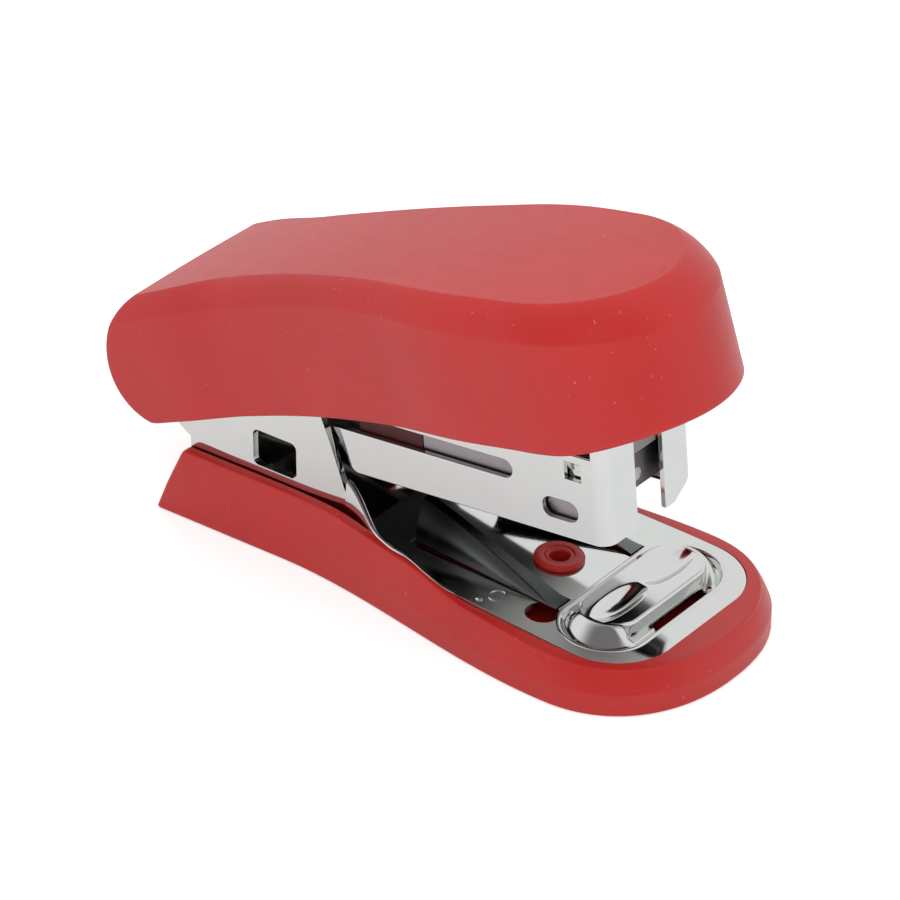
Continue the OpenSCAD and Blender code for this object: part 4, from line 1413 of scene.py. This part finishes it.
class Anvil:
    """A stadium-shaped dish with a raised bar in it, and two almond-shaped grooves in the bar."""

    LIP: tuple[tuple[float, float, float], ...] = (
        (0.0, -0.25, 0.42), (0.0, 0.02, 0.42), (0.0, 0.10, 0.32), (0.0, 0.13, 0.2), (0.0, 0.11, 0.08),
        (0.0, 0.03, 0.0))

    def __init__(self, sizes: AnvilSizes) -> None:
        """Keeps the sizes."""
        self.s = sizes

    def stadium(self, wide: float, long: float) -> tuple[np.ndarray, np.ndarray]:
        """Plan points of a stadium: two half circles joined by straight sides, the same number each time.

        Args:
            wide: its size across the plate.
            long: its size along the plate.

        Returns:
            Distances along and across.
        """
        radius = max(long, 0.0) / 2.0
        middle = (wide - long) / 2.0
        turn = np.radians(np.linspace(0.0, 180.0, 49))
        line = np.linspace(middle, -middle, 42)[1:-1]
        side = np.full(40, radius)
        x = np.concatenate([radius * np.cos(turn), -side, -radius * np.cos(turn), side])
        y = np.concatenate([middle + radius * np.sin(turn), line, -middle - radius * np.sin(turn), -line])
        return x, y

    def profile(self) -> list[tuple[float, float, float]]:
        """Section from the lip over the dish and the bar's wall to the bar's rounded edge.

        Returns:
            Share of the way in, height, and growth outwards, for each ring.
        """
        s = self.s
        section = list(self.LIP)
        for t in np.linspace(0.05, s.dish, 14):
            fall = math.sin(math.pi / 2.0 * t / s.dish) ** 0.9
            section.append((t, -s.lip_drop - (s.depth - s.lip_drop) * fall, 0.0))
        for a in np.radians(np.linspace(0.0, 90.0, 12))[1:]:
            climb = (s.depth + s.rise - s.edge_h) * (1.0 - math.cos(a))
            section.append((s.dish + s.wall * math.sin(a), -s.depth + climb, 0.0))
        for a in np.radians(np.linspace(0.0, 90.0, 6))[1:]:
            start = s.dish + s.wall
            section.append((start + s.edge * math.sin(a), s.rise - s.edge_h * math.cos(a), 0.0))
        return section

    def ramp(self, share: float) -> float:
        """Height at a recess's end, where the bar runs down to the lip in a long slope.

        Args:
            share: share of the way in.

        Returns:
            The height.
        """
        s = self.s
        if share < s.ramp_share:
            return -0.1 - s.ramp_drop * math.sin(math.pi / 2.0 * share / s.ramp_share)
        low = 0.1 + s.ramp_drop
        climb = min(1.0, (share - s.ramp_share) / 0.86)
        return -low + (low + s.rise) * (1.0 - (1.0 - climb) ** 1.35)

    def groove(self, x: np.ndarray, y: np.ndarray) -> np.ndarray:
        """Height over the bar's top: the underside of a ring-shaped cutter over each half of the bar.

        Args:
            x: distances along.
            y: distances across.

        Returns:
            The height, which is 0 outside the grooves and less in them.
        """
        s = self.s
        off = np.abs(y) - s.groove_y
        tube = np.sqrt(np.clip(s.tube_r**2 - x**2, 0.0, None))
        centre = s.ring_r + s.tube_r - s.groove_depth
        reach = np.sqrt(np.clip((s.ring_r + tube) ** 2 - off**2, 0.0, None))
        cut = np.where(np.abs(x) < s.tube_r, centre - reach, 1.0)
        return -s.groove_soft * np.logaddexp(0.0, -cut / s.groove_soft)

    def build(self) -> None:
        """Lofts the dish and the bar, leaves out the slot in the dish's floor, and thickens the sheet."""
        s = self.s
        skin = Skin()
        rings = []
        for share, high, grow in self.profile():
            wide = s.recess_w - (s.recess_w - s.bar_w) * share + 2.0 * grow
            long = s.recess_l - (s.recess_l - s.bar_l) * share + 2.0 * grow
            x, y = self.stadium(wide, long)
            end = past(np.abs(y), s.end_y, s.end_l) if share > 0.0 else 0.0 * y
            rings.append(np.stack([x, y, mix(np.full_like(x, high), self.ramp(share), end)], axis=-1))
        edge = self.profile()[-1][0]
        wide = s.recess_w - (s.recess_w - s.bar_w) * edge
        long = s.recess_l - (s.recess_l - s.bar_l) * edge
        for share in np.linspace(1.0, 0.0, 26):
            x, y = self.stadium(wide - long * (1.0 - share), long * share)
            rings.append(np.stack([x, y, s.rise + self.groove(x, y)], axis=-1))
        grid = np.stack(rings)
        middle = (grid[:-1] + grid[1:]) / 2.0
        slot = middle[..., 2] < s.slot_depth * -s.depth
        slot &= (middle[..., 0] > s.slot_x[0]) & (middle[..., 0] < s.slot_x[1])
        slot &= (middle[..., 1] > s.slot_y[0]) & (middle[..., 1] < s.slot_y[1])
        skin.patch(placed(PLATE, grid), wrap=True, keep=~slot)
        piece = skin.build("anvil_pressing", Body.BASE, ANVIL_CHROME, 50.0)
        sheet = piece.modifiers.new("sheet", "SOLIDIFY")
        sheet.thickness = s.sheet * MM
        sheet.offset = -1.0
        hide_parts("anvil")


@dataclass(frozen=True)
class ArmSizes:
    """Sizes of the two sprung arms, which rise from the plate to the magazine."""

    root: float = 46.5
    length: float = 17.4
    inner: float = 5.3
    outer: float = 7.35
    thick: float = 0.3
    rise: float = 4.9
    root_h: float = 0.12
    crest: float = 0.55
    pressed: float = 0.13


class LiftArms:
    """The two arms, whose outer flank is rolled down towards the plate."""

    def __init__(self, sizes: ArmSizes) -> None:
        """Keeps the sizes."""
        self.s = sizes

    def section(self, height: np.ndarray, inset: float) -> tuple[np.ndarray, np.ndarray]:
        """Works out the sections of one arm: a flat crest, then a quarter of an oval down to the plate.

        Args:
            height: the crest's height at each station.
            inset: how far the surface lies inside the outer one.

        Returns:
            Distance across and height, with a row for each station.
        """
        s = self.s
        swing = np.radians(np.linspace(0.0, 86.0, 15))[None, :]
        wide = s.outer - s.inner - s.crest - inset
        across = np.concatenate([np.array([[s.inner]]), s.inner + s.crest + wide * np.sin(swing)], axis=1)
        drop = np.concatenate([np.zeros((1, 1)), 1.0 - np.cos(swing)], axis=1)
        up = height[:, None] - inset - (height[:, None] - inset - 0.05) * drop
        return np.repeat(across, len(height), axis=0), up

    def build(self) -> None:
        """Lofts both arms as a curved sheet: its outside, its inside and the edges between them."""
        s = self.s
        skin = Skin()
        t = np.linspace(0.0, 1.0, 48)
        x = s.root - s.length * t - ANVIL_X
        height = s.root_h + s.rise * (0.86 * t + 0.14 * smooth(t)) - 0.2 * smooth(1.0 - t * 5.0) * t
        for side in (-1.0, 1.0):
            faces = []
            for inset in (0.0, s.thick):
                across, up = self.section(np.maximum(height, inset + 0.06), inset)
                faces.append(PLATE.put(np.repeat(x[:, None], up.shape[1], axis=1), side * across, up))
            for face in faces:
                skin.patch(face)
            for edge in (0, -1):
                skin.patch(np.stack([faces[0][:, edge], faces[1][:, edge]]))
                skin.patch(np.stack([faces[0][edge], faces[1][edge]]))
        piece = skin.build("lift_arms", Body.BASE, ARM_STEEL, 40.0)
        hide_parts("lift_spring")
        foot, top = PLATE.put(np.zeros(2), np.zeros(2), np.array([0.0, 1.0]))
        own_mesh(piece)


class Eyelet:
    """The red eyelet: a rounded ring with a tube down through the plate."""

    def build(self) -> None:
        """Turns the section about the eyelet's axis."""
        turn = np.radians(np.linspace(0.0, 360.0, 65))[:-1]
        swing = np.radians(np.linspace(0.0, 90.0, 7))
        outer_r, outer_z = 2.25 + 0.35 * np.cos(swing), 0.22 + 0.34 * np.sin(swing)
        bore_r, bore_z = 1.25 - 0.25 * np.sin(swing), 0.19 + 0.28 * np.cos(swing)
        flat_r = [1.62, 1.56, 1.5, 1.44]
        flat_z = [0.57, 0.54, 0.44, 0.47]
        radius = np.concatenate([[1.68, 1.68, 2.5, 2.6], outer_r, flat_r, bore_r, [1.0, 1.68]])[:, None]
        height = np.concatenate([[-2.3, 0.0, 0.0, 0.1], outer_z, flat_z, bore_z, [-2.3, -2.3]])[:, None]
        along = (EYELET_X - ANVIL_X) / math.cos(math.radians(PLATE_FALL)) + radius * np.cos(turn)
        grid = PLATE.put(along, radius * np.sin(turn), np.repeat(height, 64, axis=1))
        piece = Skin().patch(grid, wrap=True).build("eyelet_ring", Body.BASE, EYELET_RED, 40.0)
        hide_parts("plate_eyelet")


# ---- Magazine ----

@dataclass(frozen=True)
class DimpleSizes:
    """Place and sizes of the pressed point behind each square hole, in the magazine's frame."""

    middle: float = 48.4
    half: float = 1.0
    side: float = 6.95
    back: float = 0.25
    top: float = -0.95
    half_h: float = 0.95
    deep: float = 0.55
    out: float = 0.8
    rough: float = 0.10


class Magazine:
    """The pressed staple magazine and what shows through its openings."""

    def build(self) -> None:
        """Rounds the shell's edges and adds the dimple in the square hole."""
        rounded_copy("magazine_shell", Body.MAGAZINE, MAGAZINE_CHROME, 0.13, 3)
        self.dimple(DimpleSizes())

    def dimple(self, d: DimpleSizes) -> None:
        """A four-sided pressed point behind each square hole, deepest at its middle and flat at its rim.

        Args:
            d: the point's sizes.
        """
        skin = Skin()
        share = np.linspace(-1.0, 1.0, 13)
        p, q = np.meshgrid(share, share, indexing="ij")
        deep = d.deep * (1.0 - np.maximum(np.abs(p), np.abs(q)))
        rough = d.rough * np.sin(3.0 * np.arctan2(q, p))
        across = d.side - d.back + deep * d.out + rough * (1 - deep)
        for side in (-1.0, 1.0):
            skin.patch(MAGAZINE.put(d.middle + d.half * p, side * across, d.top + d.half_h * q))
        skin.build("lanced_point", Body.MAGAZINE, CHROME, 20.0)


@dataclass(frozen=True)
class StripSizes:
    """Sizes of the glued strip of staples, in the magazine's frame."""

    rear: float = 29.45
    front: float = 50.3
    half: float = 6.45
    crown: float = -1.25
    foot: float = -7.55
    wire: float = 0.5
    round_r: float = 0.35


class Strip:
    """The strip of staples: one arch of wire after another, glued into a smooth channel."""

    def __init__(self, sizes: StripSizes) -> None:
        """Keeps the sizes."""
        self.s = sizes

    def arch(self, inset: float) -> tuple[np.ndarray, np.ndarray]:
        """Half of a staple's outline: a leg, a quarter turn and half the crown.

        Args:
            inset: how far it lies inside the outer face.

        Returns:
            Distances across and heights, from the foot to the crown.
        """
        s = self.s
        swing = np.radians(np.linspace(0.0, 90.0, 6))
        radius = max(s.round_r - inset, 0.05)
        side, top = s.half - inset, s.crown - inset
        y = np.concatenate([[side], side - radius * (1.0 - np.cos(swing)), [0.0]])
        q = np.concatenate([[s.foot], top - radius * (1.0 - np.sin(swing)), [top]])
        return y, q

    def build(self) -> None:
        """Runs the closed outline from the strip's rear to its front."""
        s = self.s
        outer, inner = self.arch(0.0), self.arch(s.wire)
        y = np.concatenate([outer[0], -outer[0][-2::-1], -inner[0], inner[0][-2::-1]])
        q = np.concatenate([outer[1], outer[1][-2::-1], inner[1], inner[1][-2::-1]])
        rows = [MAGAZINE.put(np.full_like(y, x), y, q) for x in (s.rear, s.front)]
        skin = Skin().patch(np.stack(rows), wrap=True)
        half = len(y) // 2
        for row in rows:
            skin.patch(np.stack([row[:half], row[:half - 1:-1]]))
        piece = skin.build("staple_strip_smooth", Body.MAGAZINE, WIRE, 40.0)
        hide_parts("staple_strip")


class PlainParts:
    """Parts whose frame solids show as they are, with a finish and, where it is seen, rounded edges."""

    ROUNDED: tuple[tuple[str, Body, Finish, float], ...] = (
        ("pivot_pin", Body.BASE, PIN_STEEL, 0.14),
        ("staple_core", Body.MAGAZINE, RAIL_STEEL, 0.10),
        ("core_post", Body.MAGAZINE, RAIL_STEEL, 0.08),
        ("spring_seat", Body.MAGAZINE, RAIL_STEEL, 0.10),
        ("staple_pusher", Body.PUSHER, PUSHER_RED, 0.12),
        ("handle_frame", Body.HANDLE, SOFT_CHROME, 0.11),
        ("driver_blade", Body.HANDLE, DRIVER_STEEL, 0.08),
        ("driver_rivets", Body.HANDLE, PIN_STEEL, 0.12),
        ("handle_spring", Body.HANDLE, SPRING_STEEL, 0.08),
        ("spring_rivet", Body.HANDLE, PIN_STEEL, 0.14),
    )
    PLAIN: tuple[tuple[str, Finish], ...] = (("pivot_bush", RAIL_STEEL), ("guide_rod", PIN_STEEL))
    PUSHER_TRAVEL: float = 11.0

    def build(self) -> None:
        """Makes the rounded copies, gives the two plain nodes their finish, and makes the spring."""
        for node, body, finish, width in self.ROUNDED:
            rounded_copy(node, body, finish, width)
        for node, finish in self.PLAIN:
            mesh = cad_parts[node].data
            mesh.materials.clear()
            mesh.materials.append(finish.material())
            LOG.info("finished %s", node)
        self.pusher_spring()

    def pusher_spring(self) -> None:
        """A welded copy of the pusher's spring, with its finish."""
        node = "pusher_spring"
        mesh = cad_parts[node].data.copy()
        mesh.name = "coil_spring"
        weld(mesh)
        piece = dress(mesh, "coil_spring", Body.MAGAZINE, SPRING_STEEL, 50.0)
        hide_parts(node)
        axis = MAGAZINE.put(np.array([0.0, 1.0]), np.zeros(2), np.zeros(2))
        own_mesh(piece)


# ---- Studio ----

@dataclass(frozen=True)
class View:
    """Where the camera stands, in degrees and millimetres."""

    azimuth: float = 37.5
    elevation: float = 31.0
    distance: float = 500.0
    lens: float = 200.0
    target: Triple = (27.9, 0.0, 13.15)


@dataclass(frozen=True)
class Lamp:
    """A square lamp, in millimetres and watts."""

    name: str
    place: Triple
    size: float
    power: float


class Studio:
    """Camera, lamps, world and floor."""

    LAMPS: tuple[Lamp, ...] = (
        Lamp("key", (170.0, -150.0, 220.0), 130.0, 0.27),
        Lamp("fill", (-120.0, 160.0, 240.0), 160.0, 0.16))
    AIM: Triple = (28.0, 0.0, 15.0)
    TOWARD: Triple = (0.45, 0.75, 0.45)
    FLOOR: float = 3.0
    FLOOR_DROP: float = -2e-5

    def build(self, view: View) -> None:
        """Sets up everything that isn't the stapler."""
        self.camera(view)
        self.world()
        self.floor()
        for lamp in self.LAMPS:
            self.lamp(lamp)
        bpy.context.scene.view_settings.view_transform = "Standard"

    def camera(self, view: View) -> None:
        """Points a long lens at the target.

        Args:
            view: where the camera stands.
        """
        a, e = math.radians(view.azimuth), math.radians(view.elevation)
        back = Vector((math.sin(a) * math.cos(e), -math.cos(a) * math.cos(e), math.sin(e)))
        data = bpy.data.cameras.new("camera")
        data.lens = view.lens
        data.sensor_width = 36.0
        data.clip_start = 0.01
        item = bpy.data.objects.new("camera", data)
        item.location = (Vector(view.target) + back * view.distance) * MM
        item.rotation_euler = back.to_track_quat("Z", "Y").to_euler()
        bpy.context.scene.collection.objects.link(item)
        bpy.context.scene.camera = item

    def world(self) -> None:
        """White where the camera looks past the stapler; a softly graded room in what is reflected."""
        world = bpy.data.worlds.new("room")
        world.use_nodes = True
        bpy.context.scene.world = world
        graph = Graph(world.node_tree)
        where = graph.node("ShaderNodeTexCoord", {}, {}, "Generated")
        x, y, z = graph.parts(where)
        toward = x * self.TOWARD[0] - y * self.TOWARD[1] + z * self.TOWARD[2]
        dark = toward.step(0.25, 0.85)
        gain = 0.94 - dark * 0.74
        camera = graph.node("ShaderNodeLightPath", {}, {}, "Is Camera Ray")
        glossy = Value(graph, camera.socket.node.outputs["Is Glossy Ray"])
        soft = glossy * gain + (1.0 - glossy) * 0.70
        strength = camera * 1.0 + (1.0 - camera) * soft
        shade = graph.node("ShaderNodeBackground", {}, {"Color": (1.0, 1.0, 1.0, 1.0), "Strength": strength})
        graph.node("ShaderNodeOutputWorld", {}, {"Surface": shade})

    def floor(self) -> None:
        """A white table that glows just enough to be as white as the background, and keeps the shadow."""
        mesh = bpy.data.meshes.new("floor")
        size, low = self.FLOOR, self.FLOOR_DROP
        corners = [(-size, -size, low), (size, -size, low), (size, size, low), (-size, size, low)]
        mesh.from_pydata(corners, [], [(0, 1, 2, 3)])
        made = bpy.data.materials.new("white_table")
        made.use_nodes = True
        graph = Graph(made.node_tree)
        camera = graph.node("ShaderNodeLightPath", {}, {}, "Is Camera Ray")
        surface = graph.node("ShaderNodeBsdfPrincipled", {}, {
            "Base Color": (0.9, 0.9, 0.9, 1.0), "Roughness": 0.7,
            "Emission Color": graph.blend((0.22, 0.22, 0.22, 1.0), (1.0, 1.0, 1.0, 1.0), camera),
            "Emission Strength": 0.42})
        graph.node("ShaderNodeOutputMaterial", {}, {"Surface": surface})
        mesh.materials.append(made)
        item = bpy.data.objects.new("floor", mesh)
        bpy.context.scene.collection.objects.link(item)

    def lamp(self, lamp: Lamp) -> None:
        """Adds a lamp that faces the stapler and isn't seen in what it reflects.

        Args:
            lamp: the lamp.
        """
        data = bpy.data.lights.new(lamp.name, "AREA")
        data.size = lamp.size * MM
        data.energy = lamp.power
        item = bpy.data.objects.new(lamp.name, data)
        item.location = Vector(lamp.place) * MM
        item.visible_glossy = False
        aim = Vector(self.AIM) * MM
        item.rotation_euler = (item.location - aim).to_track_quat("Z", "Y").to_euler()
        bpy.context.scene.collection.objects.link(item)


def main() -> None:
    """Builds the stapler from its handle down, then the studio."""
    logging.basicConfig(level=logging.INFO)
    plate = Plate(PlateSizes())
    Cover(CoverSizes()).build()
    Tray(TraySizes(), plate).build()
    plate.build()
    Anvil(AnvilSizes()).build()
    LiftArms(ArmSizes()).build()
    Eyelet().build()
    Magazine().build()
    Strip(StripSizes()).build()
    PlainParts().build()
    Studio().build(View())


if __name__ == "__main__":
    main()
